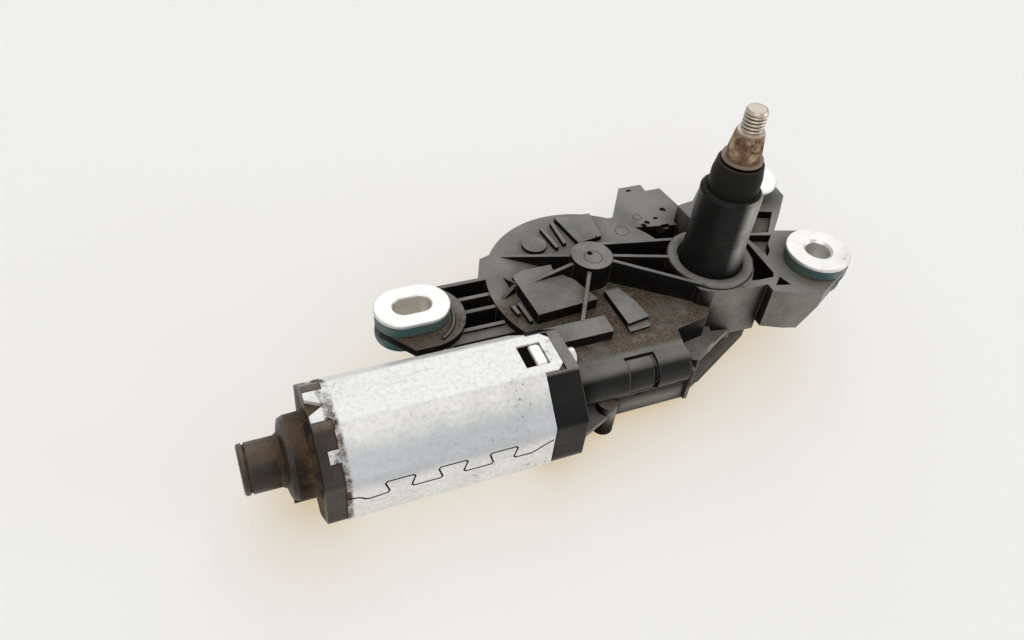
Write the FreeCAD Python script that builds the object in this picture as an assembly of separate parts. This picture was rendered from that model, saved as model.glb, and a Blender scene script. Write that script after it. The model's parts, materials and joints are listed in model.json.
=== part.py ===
import FreeCAD, Part
import math
import os

V = FreeCAD.Vector

# Frame: the origin is on the wiper shaft's axis, half way up the spindle tube.
# Z runs up the shaft, X runs parallel to the motor from its end cap towards the shaft, Y is the far side.

# Places of the main axes
wheel_x = -45.5
wheel_y = 11.0
motor_y = -29.5
motor_z = -38.5
sleeve_a = (40.3, -12.9)
sleeve_c = (39.6, 37.1)
sleeve_b = (-117.0, 10.0)

# Clearances
running_gap = 0.05
open_gap = 0.3
guard_gap = 0.6
wheel_room = 0.8

# Worm and wheel
gear_module = 1.2
wheel_teeth = 60
wheel_pitch_radius = gear_module * wheel_teeth / 2
worm_pitch_radius = wheel_y - motor_y - wheel_pitch_radius
worm_phase = 187.0
worm_length = 28.0
tooth_backlash = 0.6
pressure_angle = 20.0
wheel_width = 9.0
wheel_hub_radius = 9.0
wheel_web_thickness = 3.0
wheel_rim_thickness = 5.0
wheel_outer_radius = wheel_pitch_radius + gear_module

# Case heights
deck_z = -28.0
deck_thickness = 2.5
hub_z = -17.0
ring_z = -19.8
case_bottom_z = -58.8
cover_thickness = 2.0
link_floor_z = -43.4

# Case plan
case_wall = 2.0
deck_radius = wheel_outer_radius + wheel_room + case_wall
tower_radius = 17.2
link_case_radius = 24.3
front_line_y = motor_y - 0.7
diagonal_start = (-18.0, -30.2)
diagonal_end = (66.0, 14.7)
corner_slope = (diagonal_end[1] - diagonal_start[1]) / (diagonal_end[0] - diagonal_start[0])
corner_wall = 2.4
facet_left = (-7.7, -17.0)
facet_right = (4.6, -18.8)
facet_bottom_z = -46.0
wall_corner = (-10.9, -20.9)
hub_radius = 8.0
rib_thickness = 1.4

# Wiper shaft, from the bottom up
shaft_radius = 6.0
shaft_bottom_z = -53.8
cone_bottom_z = 30.0
thread_bottom_z = 39.8
shaft_top_z = 47.1
cone_bottom_radius = 6.1
thread_radius = 4.0
tip_chamfer = 0.6

# Spindle tube, bushes and cap
tube_radius = 11.5
tube_foot_radius = 12.1
tube_foot_top_z = -12.0
tube_ledge = 0.9
tube_top_z = 14.2
tube_bottom_z = -33.0
tube_bore_radius = 8.5
bush_length = 12.0
upper_bush_top_z = 11.0
lower_bush_bottom_z = -33.0
cap_radius = 9.3
cap_top_z = 25.9
cap_lip_radius = 8.4
cap_lip_depth = 3.0
cap_bore_radius = 6.3
ring_thickness = 1.2
spring_ring_z = 27.0
spring_ring_radius = 7.4
seal_section_radius = 1.2
seal_z = -3.0

# Mounting sleeves, grommets and ears
sleeve_top_z = -13.5
slotted_top_z = -21.5
sleeve_length = 17.0
sleeve_flange_radius = 12.5
sleeve_flange_thickness = 1.3
sleeve_bore_radius = 4.9
sleeve_wall = 1.7
sleeve_rim_round = 0.35
sleeve_mouth = 0.9
slot_flange_radius = 9.9
slot_flange_run = 3.9
slot_bore_radius = 4.0
slot_run = 3.0
slot_mouth_edge = 0.4
slot_waist_radius = 8.2
grommet_round = 1.0
grommet_flange_radius = 12.0
grommet_waist_radius = 9.2
grommet_foot = 3.6
front_ear_z = ring_z
rear_ear_z = deck_z
ear_thickness = 3.2
ear_b_radius = 15.8
ear_skirt_z = -38.5

# Crank linkage
crank_radius = 13.1
lever_length = 16.0
rod_top_z = -45.0
rod_thickness = 3.0
lever_top_z = -49.0
lever_thickness = 4.0
lever_rest_angle = 87.65
crank_rest_angle = 85.8
pin_radius = 3.0
pin_head_radius = 4.2
rod_eye_radius = 5.6
lever_eye_radius = 5.4
lever_hub_radius = 9.5
lever_collar = 0.6

# Motor, measured along its axis from the open end of the can
yoke_apothem = 22.3
yoke_corner_radius = 3.0
yoke_wall = 1.6
yoke_length = 70.0
yoke_right_x = -87.0
yoke_left_x = yoke_right_x - yoke_length
flange_length = 12.0
flange_right_x = yoke_right_x + flange_length
fork_length = 6.2
fork_width = 12.4
fork_mouth = 8.0
finger_length = 3.4
finger_width = 4.2
tab_length = 7.5
tab_width = 17.0
commutator_radius = 8.0
commutator_left_x = yoke_right_x - 8.0
commutator_right_x = commutator_left_x + 13.0
end_turn_length = 8.0
end_turn_gap = 5.0
core_radius = 15.2
core_right_x = commutator_left_x - end_turn_gap - end_turn_length
core_left_x = yoke_left_x + 11.0
magnet_inner_radius = 15.8
magnet_outer_radius = yoke_apothem - yoke_wall - running_gap
magnet_left_x = core_left_x - 4.0
magnet_right_x = core_right_x + 4.0
cap_stage_radius = 14.0
cap_stage_x = yoke_left_x - 15.0
cap_boss_radius = 8.4
cap_end_x = cap_stage_x - 13.5
armature_radius = 2.5
armature_left_x = cap_end_x + 3.5
bearing_radius = 5.0
bearing_length = 6.0
worm_tube_radius = 8.0
worm_bore_radius = 6.0
worm_tube_right_x = -25.6
worm_bore_right_x = worm_tube_right_x - 1.0
armature_right_x = worm_bore_right_x - 0.2

# Values for the small parts
slot_count = 10
slot_mouth = 1.2
slot_well_radius = 2.2
slot_well_centre = 10.2
window_width = 10.0
magnet_span = 72.0
lip_length = 6.4
brush_plate_x = commutator_right_x - 2.0
flange_wall = 2.4
brush_plate_radius = yoke_apothem - yoke_wall - flange_wall - running_gap
brush_length = 6.0
spring_length = 3.0
spring_seat_radius = commutator_radius + running_gap + brush_length + spring_length
front_block = (-48.2, -18.0)
tube_seat_radius = 11.0
axle_radius = 4.0
axle_top_z = -19.0
window_x = (-50.6, -38.4)
window_z = (-42.5, -27.0)
slab_x = (-53.5, -22.8)
slab_front_y = -35.5
slab_bottom_z = -53.5
pocket_depth = 3.6
block_z = -23.0
bar_z = -26.0
shelf_z = -23.5
arm_y = (-4.6, 23.3)
arm_low_z = -44.0
rim_wall = 1.6
ledge_width = 5.0
ledge_thickness = 3.2
deck_front_y = motor_y + 5.9
lobe_end_y = wheel_y + deck_radius + 9.6
lobe_notch_y = lobe_end_y - 4.6
socket_depth = 14.6
socket_x = (-5.5, 3.2)
socket_y = (lobe_end_y - socket_depth, lobe_end_y)
socket_z = (-52.0, -34.0)
socket_wall = 1.4
board_z = -55.0
board_thickness = 1.6
screw_edge = 3.8
deck_screw_angles = (159.0, 220.5, 117.0)
lobe_screw_angle = 44.3
link_screw_angle = -4.3
front_screw_x = -28.0
screw_radius = 1.5
screw_head_radius = 3.0
screw_boss_radius = 3.2
screw_boss_top_z = -48.0
screw_grip = 7.0
board_posts = [(-6.0, socket_y[0] - 5.5), (6.0, socket_y[0] - 8.5), (6.0, socket_y[0] - 3.0)]
pin_count = 3
pin_pitch = 1.8


def cylinder(x, y, z_low, z_high, radius):
    return Part.makeCylinder(radius, z_high - z_low, V(x, y, z_low))


def ring(x, y, z_low, z_high, radius, bore):
    return cylinder(x, y, z_low, z_high, radius).cut(cylinder(x, y, z_low - 1, z_high + 1, bore))


def motor_cylinder(x_low, x_high, radius):
    return Part.makeCylinder(radius, x_high - x_low, V(x_low, motor_y, motor_z), V(1, 0, 0))


def motor_ring(x_low, x_high, radius, bore):
    return motor_cylinder(x_low, x_high, radius).cut(motor_cylinder(x_low - 1, x_high + 1, bore))


def box(x_low, x_high, y_low, y_high, z_low, z_high):
    return Part.makeBox(x_high - x_low, y_high - y_low, z_high - z_low, V(x_low, y_low, z_low))


def prism(points, z_low, z_high):
    wire = Part.makePolygon([V(x, y, z_low) for x, y in points] + [V(points[0][0], points[0][1], z_low)])
    return Part.Face(wire).extrude(V(0, 0, z_high - z_low))


def revolve(profile, x=0.0, y=0.0):
    """Turn a list of (radius, z) about a vertical axis."""
    wire = Part.makePolygon([V(r, 0, z) for r, z in profile] + [V(profile[0][0], 0, profile[0][1])])
    solid = Part.Face(wire).revolve(V(0, 0, 0), V(0, 0, 1), 360)
    solid.translate(V(x, y, 0))
    return solid


def motor_revolve(profile):
    """Turn a list of (x, radius) about the motor's axis."""
    wire = Part.makePolygon([V(x, 0, r) for x, r in profile] + [V(profile[0][0], 0, profile[0][1])])
    solid = Part.Face(wire).revolve(V(0, 0, 0), V(1, 0, 0), 360)
    solid.translate(V(0, motor_y, motor_z))
    return solid


def hull(first, first_radius, second, second_radius, z_low, z_high):
    """A prism round two circles and their outer tangents."""
    span_x = second[0] - first[0]
    span_y = second[1] - first[1]
    span = math.hypot(span_x, span_y)
    along = math.atan2(span_y, span_x)
    lean = math.acos((first_radius - second_radius) / span)
    corners = []
    for centre, radius, side in (
        (first, first_radius, 1),
        (second, second_radius, 1),
        (second, second_radius, -1),
        (first, first_radius, -1),
    ):
        angle = along + side * lean
        corners.append((centre[0] + radius * math.cos(angle), centre[1] + radius * math.sin(angle)))
    body = prism(corners, z_low, z_high)
    body = body.fuse(cylinder(first[0], first[1], z_low, z_high, first_radius))
    return body.fuse(cylinder(second[0], second[1], z_low, z_high, second_radius)).removeSplitter()


def obround(centre, half_run, radius, z_low, z_high):
    """A prism with two round ends, long along X."""
    left = (centre[0] - half_run, centre[1])
    right = (centre[0] + half_run, centre[1])
    return hull(left, radius, right, radius, z_low, z_high)


def octagon(apothem, corner_radius, x_low, x_high):
    """An eight-sided bar along the motor's axis, with rounded edges."""
    reach = apothem / math.cos(math.pi / 8)
    points = []
    for k in range(8):
        angle = math.pi / 8 + k * math.pi / 4
        points.append(V(x_low, motor_y + reach * math.cos(angle), motor_z + reach * math.sin(angle)))
    bar = Part.Face(Part.makePolygon(points + [points[0]])).extrude(V(x_high - x_low, 0, 0))
    edges = [e for e in bar.Edges if abs(e.Vertexes[0].X - e.Vertexes[1].X) > 0.5 * (x_high - x_low)]
    return bar.makeFillet(corner_radius, edges)


def on_crank_circle(radius, angle):
    return (wheel_x + radius * math.cos(math.radians(angle)), wheel_y + radius * math.sin(math.radians(angle)))


def on_shaft_circle(radius, angle):
    return (radius * math.cos(math.radians(angle)), radius * math.sin(math.radians(angle)))


# Wiper shaft and what turns with it

def make_wiper_shaft():
    profile = [
        (0, shaft_bottom_z),
        (shaft_radius - tip_chamfer, shaft_bottom_z),
        (shaft_radius, shaft_bottom_z + tip_chamfer),
        (shaft_radius, spring_ring_z - 0.1),
        (shaft_radius, cone_bottom_z - 0.4),
        (cone_bottom_radius, cone_bottom_z),
        (thread_radius + 0.7, thread_bottom_z - 0.8),
        (thread_radius - 0.4, thread_bottom_z - 0.6),
        (thread_radius - 0.4, thread_bottom_z),
        (thread_radius, thread_bottom_z + 0.2),
        (thread_radius, shaft_top_z - tip_chamfer),
        (thread_radius - tip_chamfer, shaft_top_z),
        (0, shaft_top_z),
    ]
    return revolve(profile)


def make_output_lever():
    eye = on_shaft_circle(lever_length, lever_rest_angle)
    low = lever_top_z - lever_thickness
    arm = hull((0, 0), lever_hub_radius, eye, lever_eye_radius, low, lever_top_z)
    arm = arm.fuse(cylinder(0, 0, lever_top_z, lever_top_z + lever_collar, lever_hub_radius - 1.5))
    arm = arm.cut(cylinder(0, 0, low - 1, lever_top_z + 3, shaft_radius))
    return arm.cut(cylinder(eye[0], eye[1], low - 1, lever_top_z + 1, pin_radius))


def make_lever_pin():
    eye = on_shaft_circle(lever_length, lever_rest_angle)
    pin = cylinder(eye[0], eye[1], lever_top_z - lever_thickness, rod_top_z + open_gap, pin_radius)
    head_low = rod_top_z + 0.1
    head = cylinder(eye[0], eye[1], head_low, head_low + 0.9, pin_head_radius)
    foot = cylinder(eye[0], eye[1], lever_top_z - lever_thickness - 0.8, lever_top_z - lever_thickness, pin_head_radius)
    return pin.fuse(head).fuse(foot)


def make_connecting_rod():
    far = on_crank_circle(crank_radius, crank_rest_angle)
    near = on_shaft_circle(lever_length, lever_rest_angle)
    low = rod_top_z - rod_thickness
    rod = hull(near, rod_eye_radius - 1.2, far, rod_eye_radius - 1.2, low, rod_top_z)
    rod = rod.fuse(cylinder(near[0], near[1], low, rod_top_z, rod_eye_radius))
    rod = rod.fuse(cylinder(far[0], far[1], low, rod_top_z, rod_eye_radius))
    rod = rod.cut(cylinder(near[0], near[1], low - 1, rod_top_z + 1, pin_radius + running_gap))
    return rod.cut(cylinder(far[0], far[1], low - 1, rod_top_z + 1, pin_radius)).removeSplitter()


def make_crank_pin():
    far = on_crank_circle(crank_radius, crank_rest_angle)
    top = motor_z - wheel_width / 2 - open_gap
    low = rod_top_z - rod_thickness
    pin = cylinder(far[0], far[1], low, top, pin_radius)
    return pin.fuse(cylinder(far[0], far[1], low - 0.9, low, pin_head_radius))


# Worm wheel and its axle

def make_worm_wheel():
    low = motor_z - wheel_width / 2
    high = motor_z + wheel_width / 2
    outer = wheel_outer_radius
    root = gear_module * (wheel_teeth / 2 - 1.25)
    rim_bore = root - wheel_rim_thickness
    wheel = cylinder(0, 0, low, high, outer)
    pocket = ring(0, 0, low + wheel_width / 2 + wheel_web_thickness / 2, high + 1, rim_bore, wheel_hub_radius)
    under = ring(0, 0, low - 1, low + wheel_width / 2 - wheel_web_thickness / 2, rim_bore, wheel_hub_radius)
    wheel = wheel.cut(pocket).cut(under)
    wheel = wheel.fuse(cylinder(0, 0, high, deck_z - deck_thickness - 1.0, wheel_hub_radius - 2))
    slots = []
    space = math.pi * gear_module / 2 + 0.1
    slope = math.tan(math.radians(pressure_angle - 1.5))
    lead = math.atan(gear_module / (2 * worm_pitch_radius))
    outer_half = space / 2 + slope * (outer + 0.5 - wheel_pitch_radius)
    root_half = space / 2 - slope * (gear_module * wheel_teeth / 2 - root)
    for k in range(wheel_teeth):
        shapes = []
        for z in (low - 1, high + 1):
            lag = (z - motor_z) * math.tan(lead)
            points = [V(root, lag - root_half, z), V(outer + 0.5, lag - outer_half, z)]
            points += [V(outer + 0.5, lag + outer_half, z), V(root, lag + root_half, z)]
            shapes.append(Part.makePolygon(points + [points[0]]))
        slot = Part.makeLoft(shapes, True, True)
        slot.rotate(V(0, 0, 0), V(0, 0, 1), -90 + k * 360.0 / wheel_teeth)
        slots.append(slot)
    wheel = wheel.cut(Part.makeCompound(slots))
    wheel = wheel.cut(cylinder(0, 0, low - 1, high + 9, axle_radius + running_gap))
    wheel.translate(V(wheel_x, wheel_y, 0))
    return wheel


def make_worm_thread():
    root = worm_pitch_radius - 1.25 * gear_module
    tip = worm_pitch_radius + gear_module
    pitch = math.pi * gear_module
    half = (pitch / 2 - tooth_backlash + 0.1) / 2
    slope = math.tan(math.radians(pressure_angle))
    turns = worm_length / pitch
    start_x = wheel_x - turns / 2 * pitch
    tip_half = half - slope * gear_module
    root_half = half + slope * 1.25 * gear_module
    helix = Part.makeHelix(pitch, worm_length, root)
    inner = root - 0.1
    points = [V(inner, 0, -root_half), V(tip, 0, -tip_half), V(tip, 0, tip_half), V(inner, 0, root_half)]
    profile = Part.makePolygon(points + [points[0]])
    sweep = Part.Wire(helix).makePipeShell([profile], True, True)
    core = Part.makeCylinder(root, worm_length + 4, V(0, 0, -2))
    worm = core.fuse(sweep)
    worm.rotate(V(0, 0, 0), V(0, 0, 1), worm_phase)
    worm.rotate(V(0, 0, 0), V(0, 1, 0), 90)
    worm.translate(V(start_x, motor_y, motor_z))
    return worm


def make_armature_shaft():
    shaft = motor_cylinder(armature_left_x, armature_right_x, armature_radius)
    shaft = shaft.cut(motor_cylinder(wheel_x - worm_length / 2, wheel_x + worm_length / 2, armature_radius + 1))
    return shaft.fuse(make_worm_thread()).removeSplitter()


def make_lamination_stack():
    """A straight slotted core with ten poles."""
    core = motor_ring(core_left_x, core_right_x, core_radius, armature_radius)
    slots = []
    for k in range(slot_count):
        slot = box(core_left_x - 1, core_right_x + 1, motor_y - slot_mouth / 2, motor_y + slot_mouth / 2,
                   motor_z + 6.0, motor_z + core_radius + 1)
        well = Part.makeCylinder(slot_well_radius, core_right_x - core_left_x + 2,
                                 V(core_left_x - 1, motor_y, motor_z + slot_well_centre), V(1, 0, 0))
        slot = slot.fuse(well)
        slot.rotate(V(0, motor_y, motor_z), V(1, 0, 0), k * 360.0 / slot_count)
        slots.append(slot)
    return core.cut(Part.makeCompound(slots))


def make_windings():
    """Copper end turns: a domed ring at each end of the core."""
    bodies = []
    for face_x, reach in ((core_left_x, -end_turn_length), (core_right_x, end_turn_length)):
        profile = [
            (face_x, armature_radius + 1.5),
            (face_x + reach * 0.8, armature_radius + 1.5),
            (face_x + reach, armature_radius + 3.5),
            (face_x + reach, core_radius - 5.0),
            (face_x + reach * 0.6, core_radius - 2.6),
            (face_x, core_radius - 2.0),
        ]
        bodies.append(motor_revolve(profile))
    return Part.makeCompound(bodies)


def make_commutator():
    body = motor_ring(commutator_left_x, commutator_right_x, commutator_radius, armature_radius)
    riser = motor_ring(commutator_left_x, commutator_left_x + 1.5, commutator_radius + 1.5, armature_radius)
    body = body.fuse(riser)
    gaps = []
    for k in range(slot_count):
        gap = box(commutator_left_x - 1, commutator_right_x + 1, motor_y - 0.25, motor_y + 0.25,
                  motor_z + commutator_radius - 0.6, motor_z + commutator_radius + 3)
        gap.rotate(V(0, motor_y, motor_z), V(1, 0, 0), k * 360.0 / slot_count)
        gaps.append(gap)
    return body.cut(Part.makeCompound(gaps))


# Motor housing

def make_motor_yoke():
    shell = octagon(yoke_apothem, yoke_corner_radius, yoke_left_x, yoke_right_x)
    inner = octagon(yoke_apothem - yoke_wall, yoke_corner_radius - yoke_wall / 2, yoke_left_x - 1, yoke_right_x + 1)
    shell = shell.cut(inner)
    top = motor_z + yoke_apothem
    tab = box(yoke_right_x - 0.5, yoke_right_x + tab_length, motor_y - tab_width / 2, motor_y + tab_width / 2,
              top - yoke_wall, top)
    corners = [e for e in tab.Edges if e.Vertexes[0].X > yoke_right_x + 1 and e.Vertexes[1].X > yoke_right_x + 1
               and abs(e.Vertexes[0].Z - e.Vertexes[1].Z) > 0.5 * yoke_wall]
    tab = tab.makeChamfer(2.5, corners)
    window = box(yoke_right_x - 5.0, yoke_right_x + 3.5, motor_y - window_width / 2, motor_y + window_width / 2,
                 top - yoke_wall - 1, top + 1)
    shell = shell.fuse(tab).cut(window)
    for finger in finger_shapes(0, 0.5):
        shell = shell.fuse(finger)
    return shell.removeSplitter()


def finger_shapes(gap, overlap):
    """The crimped ends of the can: a wide fork above and below, a narrow finger on each slanted face."""
    top = motor_z + yoke_apothem
    root = yoke_left_x + overlap
    fingers = []
    for k in range(8):
        if k in (2, 6):
            continue
        wide = k in (0, 4)
        half = (fork_width if wide else finger_width) / 2 + gap
        tip = yoke_left_x - (fork_length if wide else finger_length) - gap
        finger = box(tip, root, motor_y - half, motor_y + half, top - yoke_wall - gap, top + 2 * gap)
        if wide and gap == 0:
            mouth = fork_mouth / 2
            notch = Part.makePolygon([V(tip - 1, motor_y - mouth, top - 3), V(yoke_left_x - 0.6, motor_y, top - 3),
                                      V(tip - 1, motor_y + mouth, top - 3), V(tip - 1, motor_y - mouth, top - 3)])
            finger = finger.cut(Part.Face(notch).extrude(V(0, 0, 6)))
        finger.rotate(V(0, motor_y, motor_z), V(1, 0, 0), k * 45.0)
        fingers.append(finger)
    return fingers


def make_magnet(centre_angle):
    arc = motor_ring(magnet_left_x, magnet_right_x, magnet_outer_radius, magnet_inner_radius)
    keep = []
    half = magnet_span / 2
    reach = 60.0
    for angle in (centre_angle - half, centre_angle + half):
        keep.append(V(magnet_left_x - 1, motor_y + reach * math.cos(math.radians(angle)),
                      motor_z + reach * math.sin(math.radians(angle))))
    apex = V(magnet_left_x - 1, motor_y, motor_z)
    wedge = Part.Face(Part.makePolygon([apex, keep[0], keep[1], apex])).extrude(V(magnet_right_x - magnet_left_x + 2, 0, 0))
    return arc.common(wedge)


def make_magnet_clip():
    """The steel bracket ring that holds the magnets apart at their inner end."""
    band = octagon(yoke_apothem - yoke_wall - open_gap, yoke_corner_radius - yoke_wall / 2,
                   magnet_left_x - 3.0, magnet_left_x - 1.2)
    return band.cut(motor_cylinder(magnet_left_x - 4, magnet_left_x + 1, magnet_outer_radius - 1.5))


def make_end_cap():
    plate = octagon(yoke_apothem - yoke_wall - 0.1, yoke_corner_radius - yoke_wall / 2, yoke_left_x, yoke_left_x + 3.0)
    lip = octagon(yoke_apothem - 0.2, yoke_corner_radius, yoke_left_x - lip_length, yoke_left_x)
    lip = lip.cut(Part.makeCompound(finger_shapes(0.2, 0.2)))
    profile = [
        (yoke_left_x - lip_length, 0),
        (yoke_left_x - lip_length, cap_stage_radius + 1.5),
        (yoke_left_x - lip_length - 1.5, cap_stage_radius + 0.2),
        (cap_stage_x + 2.2, cap_stage_radius),
        (cap_stage_x + 0.6, cap_stage_radius - 0.7),
        (cap_stage_x, cap_stage_radius - 2.2),
        (cap_stage_x - 0.6, cap_boss_radius + 0.8),
        (cap_stage_x - 2.0, cap_boss_radius),
        (cap_end_x + 2.6, cap_boss_radius),
        (cap_end_x + 2.4, cap_boss_radius - 0.6),
        (cap_end_x + 1.9, cap_boss_radius - 0.6),
        (cap_end_x + 1.7, cap_boss_radius),
        (cap_end_x + 0.5, cap_boss_radius),
        (cap_end_x, cap_boss_radius - 0.6),
        (cap_end_x, 0),
    ]
    cap = motor_revolve(profile).fuse(lip).fuse(plate)
    foot = box(cap_stage_x + 1.0, yoke_left_x - lip_length, motor_y - 7.0, motor_y + 7.0,
               motor_z - cap_stage_radius - 2.0, motor_z - cap_stage_radius + 3.0)
    foot = foot.makeFillet(1.2, [e for e in foot.Edges if e.BoundBox.XLength > 5])
    nub = box(cap_end_x, cap_end_x + 2.0, motor_y - 1.5, motor_y + 1.5, motor_z - cap_boss_radius - 1.2,
              motor_z - cap_boss_radius + 1.0)
    cap = cap.fuse(foot).fuse(nub)
    cavity = motor_cylinder(cap_stage_x + 2.0, yoke_left_x + 4.0, cap_stage_radius - case_wall)
    bore = motor_cylinder(cap_end_x + 2.0, yoke_left_x, bearing_radius)
    well = motor_cylinder(yoke_left_x, yoke_left_x + 4.0, yoke_apothem - yoke_wall - 2.5)
    return cap.cut(cavity).cut(bore).cut(well).removeSplitter()


def make_bearing(x_low, x_high, radius):
    return motor_ring(x_low, x_high, radius, armature_radius + running_gap)


def make_brush_holder():
    plate = motor_ring(brush_plate_x, brush_plate_x + 2.0, brush_plate_radius, commutator_radius + 2.5)
    plate = plate.common(octagon(brush_plate_radius, 2.0, brush_plate_x - 1, brush_plate_x + 3))
    for side in (-1, 1):
        guide = box(brush_plate_x - 6.5, brush_plate_x + 0.2, motor_y - 4.2, motor_y + 4.2,
                    motor_z + commutator_radius + 1.8, motor_z + brush_plate_radius - 0.3)
        hole = box(brush_plate_x - 5.4, brush_plate_x - 0.4, motor_y - 3.1, motor_y + 3.1,
                   motor_z + commutator_radius, motor_z + spring_seat_radius)
        if side < 0:
            guide.rotate(V(0, motor_y, motor_z), V(1, 0, 0), 180)
            hole.rotate(V(0, motor_y, motor_z), V(1, 0, 0), 180)
        plate = plate.fuse(guide).cut(hole)
    return plate


def make_brushes():
    bodies = []
    for side in (-1, 1):
        low = commutator_radius + running_gap
        brush = box(brush_plate_x - 5.3, brush_plate_x - 0.5, motor_y - 3.0, motor_y + 3.0,
                    motor_z + low, motor_z + low + brush_length)
        if side < 0:
            brush.rotate(V(0, motor_y, motor_z), V(1, 0, 0), 180)
        bodies.append(brush)
    return Part.makeCompound(bodies)


def make_brush_springs():
    """A spring behind each brush, as a short tube of the coil's outer size."""
    bodies = []
    for side in (-1, 1):
        low = commutator_radius + running_gap + brush_length
        spring = cylinder(brush_plate_x - 2.9, motor_y, motor_z + low, motor_z + low + spring_length, 1.8)
        spring = spring.cut(cylinder(brush_plate_x - 2.9, motor_y, motor_z + low - 1, motor_z + 40, 1.1))
        if side < 0:
            spring.rotate(V(0, motor_y, motor_z), V(1, 0, 0), 180)
        bodies.append(spring)
    return Part.makeCompound(bodies)


# Gear case

def front_limit(inset, z_low, z_high):
    """What lies behind the case's straight front and its slanted front corner."""
    run_x = diagonal_end[0] - diagonal_start[0]
    run_y = diagonal_end[1] - diagonal_start[1]
    run = math.hypot(run_x, run_y)
    corner_shift = inset * (run - run_x) / run_y
    corner = (diagonal_start[0] - corner_shift, front_line_y + inset)
    end = (corner[0] + run_x, corner[1] + run_y)
    points = [(-140, corner[1]), corner, end, (end[0], 140), (-140, 140)]
    return prism(points, z_low, z_high)


def ledge_y(x):
    """Where the slanted corner's line is at x."""
    return diagonal_start[1] + corner_slope * (x - diagonal_start[0])


def case_outline(inset, z_low, z_high):
    body = hull((wheel_x, wheel_y), deck_radius - inset, (0, 0), link_case_radius - inset, z_low, z_high)
    return body.common(front_limit(inset, z_low, z_high))


def rib(start, end, low, start_top, end_top, thickness):
    """A wall from start to end whose top slopes from start_top to end_top."""
    run = math.hypot(end[0] - start[0], end[1] - start[1])
    side = V(-(end[1] - start[1]) / run * thickness / 2, (end[0] - start[0]) / run * thickness / 2, 0)
    a = V(start[0], start[1], low)
    b = V(end[0], end[1], low)
    corners = [a, b, V(end[0], end[1], end_top), V(start[0], start[1], start_top)]
    face = Part.Face(Part.makePolygon([c - side for c in corners] + [corners[0] - side]))
    return face.extrude(side * 2)


def lobe_points(inset):
    w = inset
    return [
        (-22.0, 36.0 + w), (-18.4 + w, 43.0), (-7.4 + w * 0.9, lobe_end_y - w), (3.5 - w, lobe_end_y - w),
        (3.5 - w, lobe_notch_y - w), (10.6 - w, lobe_notch_y - w), (12.4 - w, 43.6), (12.9 - w, 30.0 + w),
    ]


def lobe_step(z_low, z_high):
    """The low shoulder between the deck and the lobe."""
    far = wheel_y + deck_radius - 3.0
    points = [(-44.0, far), (-27.6, far - 0.8), (-27.6, far - 5.0), (-18.4, far - 5.0), (-18.4, 20.0), (-44.0, 20.0)]
    return prism(points, z_low, z_high)


def screw_places():
    places = [on_crank_circle(deck_radius - screw_edge, angle) for angle in deck_screw_angles]
    places.append(on_crank_circle(deck_radius - open_gap, lobe_screw_angle))
    places.append(on_shaft_circle(link_case_radius - screw_edge, link_screw_angle))
    places.append((front_screw_x, front_line_y + screw_edge))
    return places


def front_wall(inset, z_low, z_high):
    """The straight wall in front of the worm, between the motor's gusset and the slanted corner."""
    points = [(front_block[0] + inset, 0), (front_block[0] + inset, front_line_y + inset),
              (front_block[1] - inset, front_line_y + inset), (-7.7, -25.0 + inset), (0, 0)]
    return prism(points, z_low, z_high)


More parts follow.
